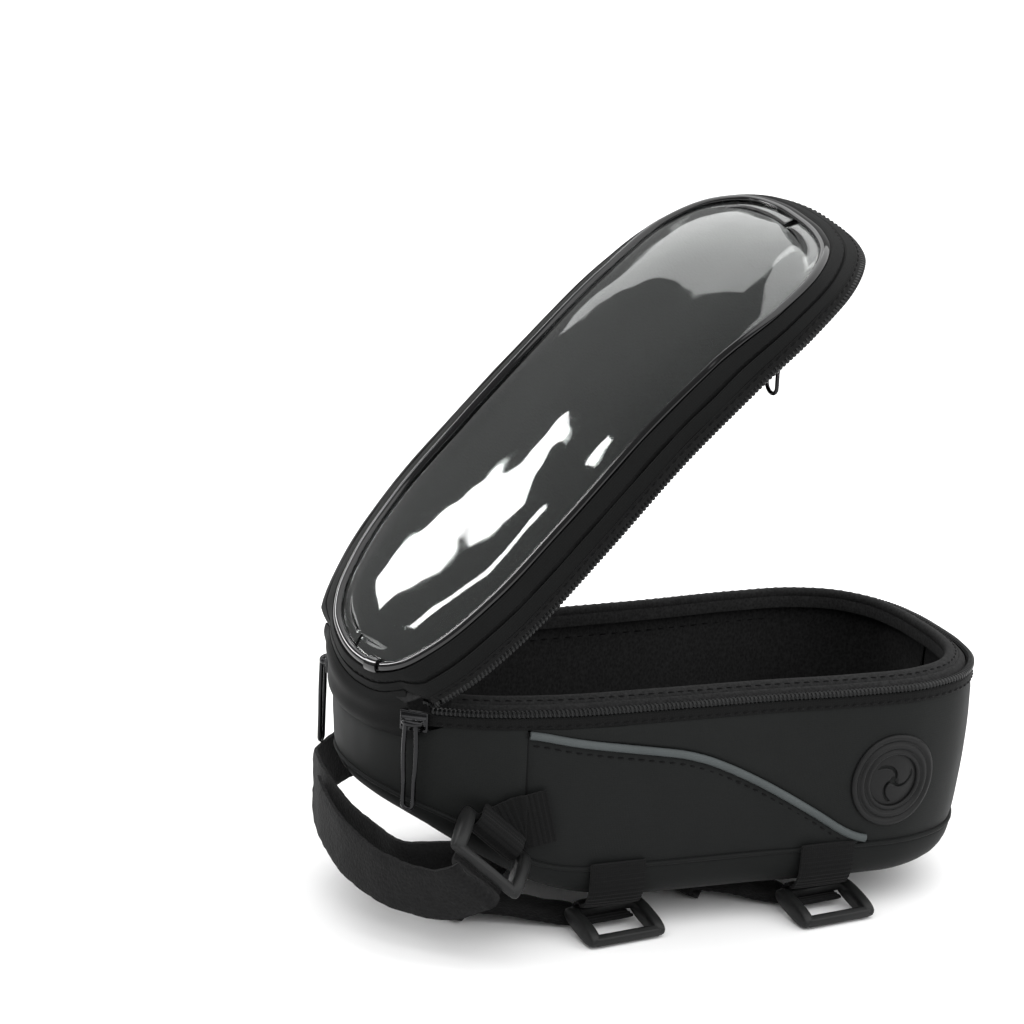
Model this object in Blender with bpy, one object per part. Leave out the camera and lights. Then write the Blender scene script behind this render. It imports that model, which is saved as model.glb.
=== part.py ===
"""Bicycle top-tube phone bag with a zipped window lid, open as in use.

All lengths below are in millimetres and are scaled to metres when a mesh is made.
X runs from the narrow hinge end (0) to the wide port end (LENGTH), -Y is the near
side, Z is up from the ground. The lid is built closed and then turned on its hinge.
The scene's origin is ORIGIN, in the middle of the flat underside.
"""

import math

import bmesh
import bpy
import numpy as np
from mathutils import Matrix, Vector

MM = 0.001
LENGTH = 205.0
RIM = 74.0
UNDERSIDE = 9.6
ORIGIN = (LENGTH / 2, 0.0, UNDERSIDE)
GAP = 0.3

# Half outline of the rim: (distance from the narrow tip, half width).
HALF_OUTLINE = (
    (0, 0), (1.0, 10.0), (4.2, 20.5), (12.5, 31.5), (28, 40.5), (52, 46.5), (85, 48.5),
    (120, 49.5), (152, 51.5), (174, 50.5), (190, 43.5), (200.5, 30), (204.3, 15), (205, 0),
)
# Height of the wall's lower seam and of the base's underside, by distance from the tip.
SEAM = ((0, 47.0), (10, 43.5), (22, 39.5), (34, 32.0), (45, 25.5), (60, 22.4), (205, 22.4))
BASE = ((0, 39.0), (10, 35.5), (22, 29.0), (34, 23.0), (45, 17.5), (60, 12.5),
        (80, UNDERSIDE), (170, UNDERSIDE), (190, 10.5), (205, 12.5))
# Height of the swoosh piping on each side.
PIPING = ((43, 67.0), (58, 63.5), (81, 59.5), (95.5, 57.0), (108.5, 51.5), (124, 43.0),
          (140, 32.8), (150.5, 25.6), (157, 24.2))
BULGE = 1.0
RAKE = 4.0
SEAM_X = 43.0
SWOOSH_END = 154.0
SIDE_TOP = RIM - 6.0
RING_STEPS = 40

PORT_X = 163.5
PORT_Z = RIM - 30.5
PORT_RADIUS = 14.5
SLEEVE = 9.3

HINGE = (7.2, 0.0, RIM - 1.9)
HINGE_YAW = 15.7
LID_OPEN = 52.0
ZIP_NEAR = 36.0
ZIP_FAR = 28.0

WEB_WIDTH = 18.0
WEB_THICK = 1.2
STRAP_WIDTH = 18.0
STRAP_THICK = 1.6
BUCKLE_LONG = 26.0
BUCKLE_DEEP = 18.4
BAR_REACH = 7.7
CHEEK = 3.4


def clear_scene():
    for obj in list(bpy.data.objects):
        bpy.data.objects.remove(obj, do_unlink=True)


def material(name, colour, roughness, metallic=0.0, alpha=1.0):
    found = bpy.data.materials.get(name)
    if found:
        return found
    made = bpy.data.materials.new(name)
    made.use_nodes = True
    shader = made.node_tree.nodes["Principled BSDF"]
    shader.inputs["Base Color"].default_value = (*colour, 1.0)
    shader.inputs["Roughness"].default_value = roughness
    shader.inputs["Metallic"].default_value = metallic
    shader.inputs["Alpha"].default_value = alpha
    return made


SHELL = ("shell_fabric", (0.028, 0.029, 0.031), 0.62)
SIDE_CLOTH = ("side_cloth", (0.024, 0.025, 0.027), 0.60)
BASE_CLOTH = ("base_cloth", (0.024, 0.025, 0.027), 0.62)
LID_CLOTH = ("lid_cloth", (0.016, 0.016, 0.017), 0.66)
LINING = ("lining_cloth", (0.012, 0.012, 0.012), 0.90)
FOAM = ("foam", (0.10, 0.10, 0.10), 0.90)
BOARD = ("board", (0.05, 0.05, 0.05), 0.70)
REFLECTIVE = ("reflective_tape", (0.22, 0.23, 0.24), 0.38)
RUBBER = ("port_rubber", (0.012, 0.012, 0.012), 0.55)
ZIP_TAPE = ("zip_tape", (0.014, 0.014, 0.015), 0.80)
ZIP_COIL = ("zip_coil", (0.020, 0.020, 0.021), 0.40)
GUNMETAL = ("zip_metal", (0.10, 0.10, 0.11), 0.30, 1.0)
BEAD = ("gloss_bead", (0.008, 0.008, 0.009), 0.12)
FILM = ("clear_film", (0.85, 0.88, 0.87), 0.05, 0.0, 0.25)
WEBBING = ("webbing", (0.012, 0.012, 0.013), 0.82)
HOOK_LOOP = ("hook_and_loop", (0.016, 0.016, 0.016), 0.92)
BUCKLE = ("buckle_plastic", (0.030, 0.030, 0.032), 0.42)


def outline_table():
    """Fine closed outline: points, inward normals and arc length, from the narrow tip by +Y."""
    half = np.array(HALF_OUTLINE, float)
    knots = np.concatenate([half, half[-2:0:-1] * (1, -1)])
    count = len(knots)
    fine = []
    for i in range(count):
        before, start, end, after = (knots[(i + k) % count] for k in (-1, 0, 1, 2))
        here = np.linalg.norm(end - start)
        back = np.linalg.norm(start - before)
        ahead = np.linalg.norm(after - end)
        leave = ((start - before) / back * here + (end - start) / here * back) / (back + here)
        arrive = ((end - start) / here * ahead + (after - end) / ahead * here) / (here + ahead)
        for t in np.arange(24) / 24:
            a, b = 2 * t**3 - 3 * t**2 + 1, t**3 - 2 * t**2 + t
            c, d = 3 * t**2 - 2 * t**3, t**3 - t**2
            fine.append(a * start + b * here * leave + c * end + d * here * arrive)
    points = np.array(fine + fine[:1])
    arc = np.concatenate([[0], np.cumsum(np.linalg.norm(np.diff(points, axis=0), axis=1))])
    ring = points[:-1]
    along = np.roll(ring, -1, 0) - np.roll(ring, 1, 0)
    along /= np.linalg.norm(along, axis=1)[:, None]
    normals = np.stack([along[:, 1], -along[:, 0]], 1)
    normals = np.concatenate([normals, normals[:1]])
    return points, normals, arc


POINTS, NORMALS, ARC = outline_table()
AROUND = ARC[-1]


def on_outline(s):
    s = s % AROUND
    point = np.array([np.interp(s, ARC, POINTS[:, k]) for k in (0, 1)])
    normal = np.array([np.interp(s, ARC, NORMALS[:, k]) for k in (0, 1)])
    return point, normal / np.linalg.norm(normal)


def arc_at(x, side):
    """Arc length of the outline point at distance x from the tip; side is 1 (far) or -1 (near)."""
    half = len(ARC) // 2 + 1
    s = float(np.interp(x, POINTS[:half, 0], ARC[:half]))
    return s if side > 0 else AROUND - s


def height(table, x):
    return float(np.interp(x, [row[0] for row in table], [row[1] for row in table]))


def smooth_height(table, x):
    spread = (-6, -3, 0, 3, 6)
    return sum(height(table, min(max(x + d, 0), LENGTH)) for d in spread) / len(spread)


def seam_at(s):
    return smooth_height(SEAM, on_outline(s)[0][0])


def base_at(s):
    return smooth_height(BASE, on_outline(s)[0][0])


def on_wall(s, z, depth):
    """Point at arc length s and height z, depth inside the wall's outer face."""
    point, normal = on_outline(s)
    share = min(max((z - 22.4) / (RIM - 22.4), 0), 1)
    swell = BULGE * math.sin(math.pi * share)
    flat = point + normal * (depth - swell)
    fade = min(max(1 - point[0] / 60, 0), 1)
    flat[0] += RAKE * fade * fade * min(max((RIM - z) / 40, 0), 1.4)
    return Vector((flat[0], flat[1], z))


def ring_places(steps=RING_STEPS):
    """Arc lengths round the outline, closer together where it curves, mirrored about Y = 0."""
    half = len(ARC) // 2 + 1
    turn = np.arctan2(NORMALS[:half, 1], NORMALS[:half, 0])
    bend = np.abs(np.diff(np.unwrap(turn)))
    weight = np.concatenate([[0], np.cumsum(np.diff(ARC[:half]) + 62 * bend)])
    one = np.interp(np.linspace(0, weight[-1], steps // 2 + 1), weight, ARC[:half])
    one = sorted(list(one) + [arc_at(SEAM_X, 1)])
    return one + [AROUND - s for s in one[-2:0:-1]]


RING = ring_places()


def stretch(start, end, step=9.0):
    """Arc lengths from start to end through the ring's own places, so that pieces nest."""
    inside = [s for lap in (-1, 0, 1) for s in (place + lap * AROUND for place in RING)]
    inside = [s for s in sorted(inside) if start + 0.3 * step < s < end - 0.3 * step]
    return [start] + inside + [end]


def make(name, verts, faces, look, smooth=False, pivot=None, frame=None):
    """One closed mesh object; verts are millimetres in world directions."""
    pivot = Vector(pivot or (0, 0, 0))
    mesh = bpy.data.meshes.new(name)
    bm = bmesh.new()
    made = [bm.verts.new((Vector(v) - pivot) * MM) for v in verts]
    for face in faces:
        bm.faces.new([made[i] for i in face])
    bmesh.ops.recalc_face_normals(bm, faces=bm.faces)
    if bm.calc_volume(signed=True) < 0:
        bmesh.ops.reverse_faces(bm, faces=bm.faces)
    bm.to_mesh(mesh)
    bm.free()
    obj = bpy.data.objects.new(name, mesh)
    bpy.context.collection.objects.link(obj)
    obj.location = (pivot - Vector(ORIGIN)) * MM
    mesh.materials.append(material(*look))
    mesh.polygons.foreach_set("use_smooth", [smooth] * len(mesh.polygons))
    if frame is not None:
        obj.parent = frame
    return obj


def sweep(name, places, profile, look, closed=True, smooth=False, frame=None, pivot=None):
    """Sweeps profile(s), a closed polygon of (depth, z), along the wall."""
    rows = [[on_wall(s, z, depth) for depth, z in profile(s)] for s in places]
    size = len(rows[0])
    verts = [point for row in rows for point in row]
    faces = []
    for i in range(len(rows) if closed else len(rows) - 1):
        j = (i + 1) % len(rows)
        for k in range(size):
            n = (k + 1) % size
            faces.append((i * size + k, j * size + k, j * size + n, i * size + n))
    if not closed:
        faces.append(tuple(range(size)))
        faces.append(tuple((len(rows) - 1) * size + k for k in range(size))[::-1])
    return make(name, verts, faces, look, smooth, pivot, frame)


def ladder(first, count):
    """Faces that close a mirrored ring with strips across it."""
    faces = [(first, first + 1, first + count - 1)]
    for i in range(1, count // 2 - 1):
        faces.append((first + i, first + i + 1, first + count - i - 1, first + count - i))
    middle = first + count // 2
    faces.append((middle - 1, middle, middle + 1))
    return faces


def tray(name, rings, look, smooth=False, frame=None, pivot=None):
    """Closed solid from rings of points, each ring mirrored, with a ladder at both ends."""
    count = len(rings[0])
    verts = [point for ring in rings for point in ring]
    faces = ladder(0, count) + ladder((len(rings) - 1) * count, count)
    for r in range(len(rings) - 1):
        for i in range(count):
            j = (i + 1) % count
            faces.append((r * count + i, r * count + j, (r + 1) * count + j, (r + 1) * count + i))
    return make(name, verts, faces, look, smooth, pivot, frame)


def wall_ring(depth, level):
    return [on_wall(s, level(s), depth) for s in RING]


def spline(points, per_span):
    """Smooth path through the given rows of numbers."""
    rows = np.array(points, float)
    rows = np.concatenate([[2 * rows[0] - rows[1]], rows, [2 * rows[-1] - rows[-2]]])
    path = []
    for i in range(1, len(rows) - 2):
        p, q, r, t = rows[i - 1], rows[i], rows[i + 1], rows[i + 2]
        for u in np.arange(per_span) / per_span:
            path.append(0.5 * (2 * q + (r - p) * u + (2 * p - 5 * q + 4 * r - t) * u**2
                               + (3 * q - p - 3 * r + t) * u**3))
    path.append(rows[-2])
    return np.array(path)


def ribbon(name, rows, width, thick, look, per_span=3):
    """Flat strap along rows of (x, y, z, direction of its width)."""
    path = spline(rows, per_span)
    verts = []
    for i, row in enumerate(path):
        centre = Vector(row[:3])
        along = Vector(path[min(i + 1, len(path) - 1)][:3] - path[max(i - 1, 0)][:3]).normalized()
        across = Vector(row[3:])
        across = (across - along * across.dot(along)).normalized() * width / 2
        up = along.cross(across).normalized() * thick / 2
        verts += [centre - across - up, centre + across - up, centre + across + up,
                  centre - across + up]
    faces = [(0, 1, 2, 3), tuple(len(verts) - k for k in (1, 2, 3, 4))]
    for i in range(len(path) - 1):
        for k in range(4):
            n = (k + 1) % 4
            faces.append((4 * i + k, 4 * i + 4 + k, 4 * i + 4 + n, 4 * i + n))
    return make(name, verts, faces, look)


def tube(name, path, radius, look, sides=6, closed=False, pivot=None, frame=None):
    """Round bar along a path of Vectors."""
    verts = []
    count = len(path)
    reach = (lambda i: i % count) if closed else (lambda i: min(max(i, 0), count - 1))
    side = None
    for i in range(count):
        along = (path[reach(i + 1)] - path[reach(i - 1)]).normalized()
        if side is None:
            side = along.orthogonal().normalized()
        side = (side - along * side.dot(along)).normalized()
        other = along.cross(side)
        for k in range(sides):
            turn = 2 * math.pi * k / sides
            verts.append(path[i] + side * radius * math.cos(turn) + other * radius * math.sin(turn))
    faces = []
    for i in range(count if closed else count - 1):
        j = (i + 1) % count
        for k in range(sides):
            n = (k + 1) % sides
            faces.append((i * sides + k, j * sides + k, j * sides + n, i * sides + n))
    if not closed:
        faces.append(tuple(range(sides))[::-1])
        faces.append(tuple((count - 1) * sides + k for k in range(sides)))
    return make(name, verts, faces, look, True, pivot, frame)


def block(centre, axes, size):
    """Corner points and faces of a box with its own axes."""
    verts = []
    for a in (-0.5, 0.5):
        for b in (-0.5, 0.5):
            for c in (-0.5, 0.5):
                verts.append(Vector(centre) + axes[0] * size[0] * a + axes[1] * size[1] * b
                             + axes[2] * size[2] * c)
    faces = [(0, 1, 3, 2), (4, 6, 7, 5), (0, 4, 5, 1), (2, 3, 7, 6), (0, 2, 6, 4), (1, 5, 7, 3)]
    return verts, faces


def joined(parts):
    verts, faces = [], []
    for part_verts, part_faces in parts:
        faces += [tuple(i + len(verts) for i in face) for face in part_faces]
        verts += part_verts
    return verts, faces


def boolean(obj, cutter, operation):
    cutter.hide_render = True
    cutter.display_type = "WIRE"
    change = obj.modifiers.new(operation.lower(), "BOOLEAN")
    change.operation = operation
    change.solver = "EXACT"
    change.object = cutter
    return change


def side_axes(s):
    """Directions at the rim: along the outline, outwards and up."""
    normal = on_outline(s)[1]
    out = Vector((-normal[0], -normal[1], 0))
    return Vector((-out.y, out.x, 0)), out, Vector((0, 0, 1))


def piping_at(s):
    return smooth_height(PIPING, on_outline(s)[0][0])


def tip_drop(s, amount):
    """Lowers the wall's top at the narrow end, between the sliders, where the lid folds down."""
    reach = (s + AROUND / 2) % AROUND - AROUND / 2
    edge = (ZIP_FAR + 6 - reach) if reach > 0 else (reach + ZIP_NEAR + 8)
    return amount * min(max(edge / 10, 0), 1)


def strip_profile(low, high, outer=0.0, inner=0.8):
    return lambda s: [(outer, low(s)), (outer, (low(s) + high(s)) / 2), (outer, high(s)),
                      (inner, high(s)), (inner, (low(s) + high(s)) / 2), (inner, low(s))]


def port_cutter(side):
    s = arc_at(PORT_X, side)
    along, out, up = side_axes(s)
    centre = on_wall(s, PORT_Z, 0)
    verts = []
    count = 18
    for reach in (-14, 8):
        for k in range(count):
            turn = 2 * math.pi * (k + 0.37) / count
            verts.append(centre + out * reach + (along * math.cos(turn) + up * math.sin(turn)) * 9.8)
    faces = [tuple(range(count)), tuple(range(count, 2 * count))[::-1]]
    faces += [(k, (k + 1) % count, count + (k + 1) % count, count + k) for k in range(count)]
    return make("port_cutter_" + ("far" if side > 0 else "near"), verts, faces, FOAM)


def build_walls(cutters):
    """Outer cloth, padding, lining and base of the box."""
    low = lambda s: seam_at(s) + 0.2
    top = lambda s: SIDE_TOP - tip_drop(s, 3.6)
    above_piping = lambda s: piping_at(s) + 1.6
    far, near = arc_at(SEAM_X, 1), arc_at(SEAM_X, -1)
    far_end, near_end = arc_at(SWOOSH_END + 5, 1), arc_at(SWOOSH_END + 5, -1)

    def side_low(s):
        x = on_outline(s)[0][0]
        ease = min(max((x - SWOOSH_END) / 5, 0), 1)
        return above_piping(s) * (1 - ease) + low(s) * ease if x < SWOOSH_END + 5 else low(s)

    panel = sweep("side_panel", stretch(far + GAP, near - GAP), strip_profile(side_low, top),
                  SIDE_CLOTH, closed=False)
    sweep("hinge_wrap", stretch(near - AROUND + GAP, far - GAP), strip_profile(low, top),
          SIDE_CLOTH, closed=False)
    soft_top = lambda s: RIM - 5.0 - tip_drop(s, 5.0)
    padding = sweep("wall_padding", RING, strip_profile(low, soft_top, 1.1, 3.3), FOAM)
    insert_top = lambda s: max(piping_at(s) - 1.6, low(s) + 0.6)
    for side, tag in ((-1, "near"), (1, "far")):
        start, end = arc_at(SEAM_X, side), arc_at(SWOOSH_END - 9, side)
        places = stretch(start + GAP, end) if side > 0 else stretch(end, start - GAP)
        sweep("insert_panel_" + tag, places, strip_profile(low, insert_top), SHELL, closed=False)
        start, end = arc_at(SEAM_X + 0.5, side), arc_at(156.0, side)
        places = stretch(start, end, 4.0) if side > 0 else stretch(end, start, 4.0)
        path = [on_wall(s, piping_at(s), -0.35) for s in places]
        tube("piping_" + tag, path, 1.25, REFLECTIVE)

    drop = lambda s: seam_at(s) - base_at(s)
    rings = [
        wall_ring(11.0, lambda s: base_at(s) + 4.0),
        wall_ring(6.0, lambda s: base_at(s) + 5.0),
        wall_ring(3.4, lambda s: seam_at(s) - 0.2),
        wall_ring(0.2, lambda s: seam_at(s) - 0.2),
        wall_ring(0.0, lambda s: seam_at(s) - 0.22 * drop(s)),
        wall_ring(1.3, lambda s: seam_at(s) - 0.58 * drop(s)),
        wall_ring(4.5, lambda s: seam_at(s) - 0.88 * drop(s)),
        wall_ring(10.0, base_at),
    ]
    tray("base_panel", rings, BASE_CLOTH, smooth=False)
    board = [wall_ring(11.6, lambda s: base_at(s) + 4.3), wall_ring(11.6, lambda s: base_at(s) + 5.3)]
    tray("base_board", board, BOARD)
    rings = [
        wall_ring(11.6, lambda s: base_at(s) + 5.9),
        wall_ring(6.5, lambda s: base_at(s) + 6.6),
        wall_ring(3.65, lambda s: seam_at(s) + 0.5),
        wall_ring(3.65, soft_top),
        wall_ring(4.3, soft_top),
        wall_ring(4.3, lambda s: seam_at(s) + 0.9),
        wall_ring(7.0, lambda s: base_at(s) + 7.3),
        wall_ring(11.6, lambda s: base_at(s) + 6.6),
    ]
    lining = tray("lining", rings, LINING, smooth=False)
    for obj in (panel, padding, lining):
        for cutter in cutters:
            boolean(obj, cutter, "DIFFERENCE")


def build_rim():
    """Zip tape, coil, inner collar and the cloth strip of the hinge."""
    start, end = ZIP_FAR + 2.0, AROUND - ZIP_NEAR - 2.0
    run = stretch(start, end)
    sweep("body_zip_tape", run, strip_profile(lambda s: SIDE_TOP + GAP, lambda s: RIM - 2.8,
                                              0.2, 1.0), ZIP_TAPE, closed=False)
    sweep("body_zip_coil", run, coil_profile(RIM - 1.35), ZIP_COIL, closed=False, smooth=True)
    collar = stretch(ZIP_FAR + 8, AROUND - ZIP_NEAR - 10)
    shape = lambda s: [(1.95, RIM - 4.4), (1.95, RIM - 1.6), (4.6, RIM + 0.9), (7.2, RIM + 2.2),
                       (8.6, RIM + 1.5), (8.6, RIM - 4.4)]
    sweep("rim_binding", collar, shape, LINING, closed=False)
    sweep("hinge_strip", stretch(-ZIP_NEAR, ZIP_FAR), strip_profile(
        lambda s: SIDE_TOP + 0.5 - tip_drop(s, 3.6), lambda s: RIM - 3.2 - tip_drop(s, 3.4),
        0.2, 1.0), ZIP_TAPE, closed=False)


def coil_profile(z, depth=0.6, radius=1.2):
    turns = [math.radians(60 * k + 30) for k in range(6)]
    return lambda s: [(depth + radius * math.cos(t), z + radius * math.sin(t)) for t in turns]


def hinge_axis():
    yaw = math.radians(HINGE_YAW)
    return Vector((math.sin(yaw), -math.cos(yaw), 0))


def lid_turn():
    return Matrix.Rotation(math.radians(LID_OPEN), 3, hinge_axis())


def opened(point):
    """Where a point of the closed lid is at rest."""
    return Vector(HINGE) + lid_turn() @ (Vector(point) - Vector(HINGE))


def lid_frame():
    frame = bpy.data.objects.new("lid_hinge", None)
    bpy.context.collection.objects.link(frame)
    frame.location = (Vector(HINGE) - Vector(ORIGIN)) * MM
    frame.rotation_mode = "QUATERNION"
    frame.rotation_quaternion = lid_turn().to_quaternion()
    return frame


def bead_in(s):
    """How far the bead's middle is inside the outline: less round the wide end."""
    x = on_outline(s)[0][0]
    return 12.4 - 6.8 * min(max((x - 150) / 55, 0), 1)


def build_lid(frame):
    """Every layer of the lid, closed, carried by the hinge."""
    def layer(name, places, shape, look, closed=True, smooth=False):
        obj = sweep(name, places, shape, look, closed, smooth, frame, HINGE)
        obj.location = (0, 0, 0)

    def slope(s, share, lift):
        rise = 4.6 + 5.4 * share**0.8 + tip_drop(s, 2.4) * (1 - share)
        return share * (bead_in(s) - 1.9), RIM + rise + lift

    run = stretch(ZIP_FAR + 7.0, AROUND - ZIP_NEAR - 7.0)
    layer("lid_zip_coil", run, coil_profile(RIM + 1.35), ZIP_COIL, False, True)
    layer("lid_zip_tape", run, strip_profile(lambda s: RIM + 2.8, lambda s: RIM + 4.3, 0.2, 1.0),
          ZIP_TAPE, False)
    band = lambda s: [slope(s, 0.0, 0.0), slope(s, 0.2, 0.0), slope(s, 0.4, 0.0),
                      slope(s, 0.4, -0.9), (1.8, slope(s, 0.2, -0.9)[1]),
                      (1.4, slope(s, 0.0, 0.0)[1])]
    layer("lid_band", RING, band, LID_CLOTH)
    border = lambda s: [slope(s, 0.46, 0.0), slope(s, 0.73, 0.0), slope(s, 1.0, 0.0),
                        slope(s, 1.0, -0.9), slope(s, 0.73, -0.9), slope(s, 0.46, -0.9)]
    layer("lid_border", RING, border, LID_CLOTH)
    turns = [math.radians(45 * k) for k in range(8)]
    bead = lambda s: [(bead_in(s) + 1.6 * math.cos(t), RIM + 9.9 + 1.6 * math.sin(t)) for t in turns]
    layer("window_bead", RING, bead, BEAD, True, True)
    arcs = [math.radians(20 + 35 * k) for k in range(5)]
    cap = lambda s: ([(bead_in(s) + 2.5 * math.cos(t), RIM + 9.9 + 2.5 * math.sin(t)) for t in arcs]
                     + [(bead_in(s) + 1.9 * math.cos(t), RIM + 9.9 + 1.9 * math.sin(t))
                        for t in arcs[::-1]])
    layer("bead_splice", [AROUND - 22, AROUND - 18, AROUND - 14], cap, BEAD, False)

    def dome(share, lift):
        inside = [on_wall(s, RIM + 9.6, bead_in(s) + 1.9) for s in RING]
        middle = 0.58 * LENGTH
        return [Vector((middle + (p.x - middle) * (0.5 + 0.5 * share), p.y * share, p.z + lift))
                for p in inside]

    rings = [dome(0.3, 3.6), dome(0.62, 2.9), dome(0.86, 1.2), dome(1.0, 0.0),
             dome(1.0, 0.7), dome(0.86, 1.9), dome(0.62, 3.6), dome(0.3, 4.3)]
    film = tray("window_film", rings, FILM, True, frame, HINGE)
    back = [wall_ring(2.9, lambda s: RIM + 4.8), wall_ring(2.9, lambda s: RIM + 5.5)]
    pocket = tray("pocket_back", back, LINING, False, frame, HINGE)
    for obj in (film, pocket):
        obj.location = (0, 0, 0)
    run = stretch(arc_at(178, -1), arc_at(58, -1))
    layer("pocket_zip_tape", run, lambda s: [(12.5, RIM + 4.1), (19.5, RIM + 4.1),
                                             (19.5, RIM + 4.5), (12.5, RIM + 4.5)], ZIP_TAPE, False)
    layer("pocket_zip_coil", run, coil_profile(RIM + 3.0, 16.0, 0.9), ZIP_COIL, False, True)


def port(side, tag):
    """Rubber ring through the wall, bent to it, and the slit disc inside it."""
    s = arc_at(PORT_X, side)
    profile = ((8.5, -6.5), (11.2, -6.5), (11.2, -5.7), (9.3, -5.7), (9.3, 0.3),
               (PORT_RADIUS, 0.3), (PORT_RADIUS, 1.1), (13.0, 1.9), (11.8, 1.0), (10.5, 1.9),
               (8.5, 1.6))
    count = 24
    verts, faces = [], []
    for k in range(count):
        turn = 2 * math.pi * k / count
        for radius, lift in profile:
            verts.append(on_wall(s + radius * math.cos(turn), PORT_Z + radius * math.sin(turn), -lift))
    size = len(profile)
    for k in range(count):
        j = (k + 1) % count
        for i in range(size):
            n = (i + 1) % size
            faces.append((k * size + i, j * size + i, j * size + n, k * size + n))
    make("port_ring_" + tag, verts, faces, RUBBER)
    along, out, up = side_axes(s)
    centre = on_wall(s, PORT_Z, 0) + out * 0.2
    verts = []
    for lift in (-0.5, 0.5):
        for k in range(count):
            turn = 2 * math.pi * k / count
            verts.append(centre + out * lift + (along * math.cos(turn) + up * math.sin(turn)) * 8.1)
    faces = [tuple(range(count)), tuple(range(count, 2 * count))[::-1]]
    faces += [(k, (k + 1) % count, count + (k + 1) % count, count + k) for k in range(count)]
    disc = make("port_disc_" + tag, verts, faces, RUBBER)
    blades = []
    for blade in range(3):
        rim = []
        for edge in (-1, 1):
            for step in range(6)[::edge]:
                radius = 1.4 + 5.2 * step / 5
                turn = math.radians(120 * blade + 75 * step / 5) + edge * (0.45 + 0.09 * step) / radius
                rim.append((along * math.cos(turn) + up * math.sin(turn)) * radius)
        size = len(rim)
        ends = [centre + out * lift + p for lift in (-2, 2) for p in rim]
        sides = [(k, (k + 1) % size, size + (k + 1) % size, size + k) for k in range(size)]
        blades.append((ends, [tuple(range(size)), tuple(range(size, 2 * size))[::-1]] + sides))
    slits = make("slit_cutter_" + tag, *joined(blades), RUBBER)
    boolean(disc, slits, "DIFFERENCE")


def fin_with_window(centre, axes, size, hole):
    """Staple that carries a pull: a fin with a window through it along axes[0]."""
    verts = []
    for reach in (-0.5, 0.5):
        for outer in (size, hole):
            for a, b in ((-0.5, -0.5), (0.5, -0.5), (0.5, 0.5), (-0.5, 0.5)):
                verts.append(centre + axes[0] * size[0] * reach + axes[1] * outer[1] * a
                             + axes[2] * outer[2] * b)
    faces = []
    for k in range(4):
        n = (k + 1) % 4
        faces += [(k, n, 4 + n, 4 + k), (8 + k, 12 + k, 12 + n, 8 + n),
                  (k, 8 + k, 8 + n, n), (4 + k, 4 + n, 12 + n, 12 + k)]
    return verts, faces


def slider(name, centre, axes, size, frame=None):
    """Zip slider: wedge body with a staple on its outer face. axes are along, out, up."""
    verts, faces = block(centre, axes, size)
    for i, v in enumerate(verts):
        if i >= 4:
            verts[i] = centre + (v - centre) - axes[2] * (v - centre).dot(axes[2]) * 0.3
    body = make(name, verts, faces, GUNMETAL, pivot=centre)
    staple = centre + axes[1] * (size[1] / 2 + 1.45)
    fin = make(name + "_staple", *fin_with_window(staple, axes, (1.5, 3.3, 4.6), (0, 1.9, 2.8)),
               GUNMETAL, pivot=centre)
    boolean(body, fin, "UNION")
    return body


def pull_loop(name, pivot, across, down, width, length, wire):
    """Long wire loop that hangs from the pivot."""
    path = []
    half = width / 2
    for k in range(5):
        turn = math.pi * k / 4
        path.append(pivot + across * half * math.cos(turn)
                    + down * half * 0.35 * (1 - math.sin(turn)))
    for k in range(5):
        turn = math.pi * k / 4
        path.append(pivot - across * half * math.cos(turn) + down * (length + half * math.sin(turn)))
    return tube(name, path, wire, GUNMETAL, 6, True, pivot)


def build_sliders():
    for side, tag, place in ((-1, "near", AROUND - ZIP_NEAR + 1), (1, "far", ZIP_FAR - 1)):
        axes = side_axes(place)
        edge = on_wall(place, RIM - 4.2, 0.0)
        centre = edge + axes[1] * 2.4
        slider("slider_" + tag, centre, axes, (9.0, 2.8, 5.8))
        pivot = centre + axes[1] * (1.4 + 1.5)
        pull_loop("pull_" + tag, pivot, axes[0], Vector((0, 0, -1)), 4.0, 25.0, 0.7)
    place = arc_at(168, -1)
    foot = on_wall(place, RIM + 0.9, 16.0)
    along = side_axes(place)[0]
    turn = lid_turn()
    axes = (turn @ along.cross(Vector((0, 0, 1))), turn @ Vector((0, 0, -1)), turn @ along)
    centre = opened(foot)
    slider("pocket_slider", centre, axes, (5.6, 1.7, 8.0))
    pivot = centre + axes[1] * (0.85 + 1.5)
    pull_loop("pocket_pull", pivot, axes[0], Vector((0, 0, -1)), 6.4, 14.0, 0.6)


def buckle(name, centre, long_way, short_way):
    """Loop of two bars between thick oval cheeks; centre is the middle of the slot."""
    long_way = long_way.normalized()
    short_way = (short_way - long_way * short_way.dot(long_way)).normalized()
    up = long_way.cross(short_way)
    axes = (long_way, short_way, up)
    deep = BUCKLE_DEEP / 2
    parts = []
    for way in (-1, 1):
        bar = centre + short_way * way * BAR_REACH
        parts.append(block(bar, axes, (BUCKLE_LONG - CHEEK, 3.0, 2.8)))
    bars = make(name, *joined(parts[:1]), BUCKLE, pivot=centre)
    other = make(name + "_bar", *joined(parts[1:]), BUCKLE, pivot=centre)
    boolean(bars, other, "UNION")
    count = 14
    for way in (-1, 1):
        verts = []
        for reach in (-0.5, 0.5):
            place = centre + long_way * (way * (BUCKLE_LONG - CHEEK) / 2 + reach * CHEEK)
            for k in range(count):
                turn = 2 * math.pi * k / count
                verts.append(place + short_way * deep * math.cos(turn) + up * 3.0 * math.sin(turn))
        faces = [tuple(range(count)), tuple(range(count, 2 * count))[::-1]]
        faces += [(k, (k + 1) % count, count + (k + 1) % count, count + k) for k in range(count)]
        cheek = make(name + "_cheek" + str(way), verts, faces, BUCKLE, pivot=centre)
        boolean(bars, cheek, "UNION")


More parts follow.
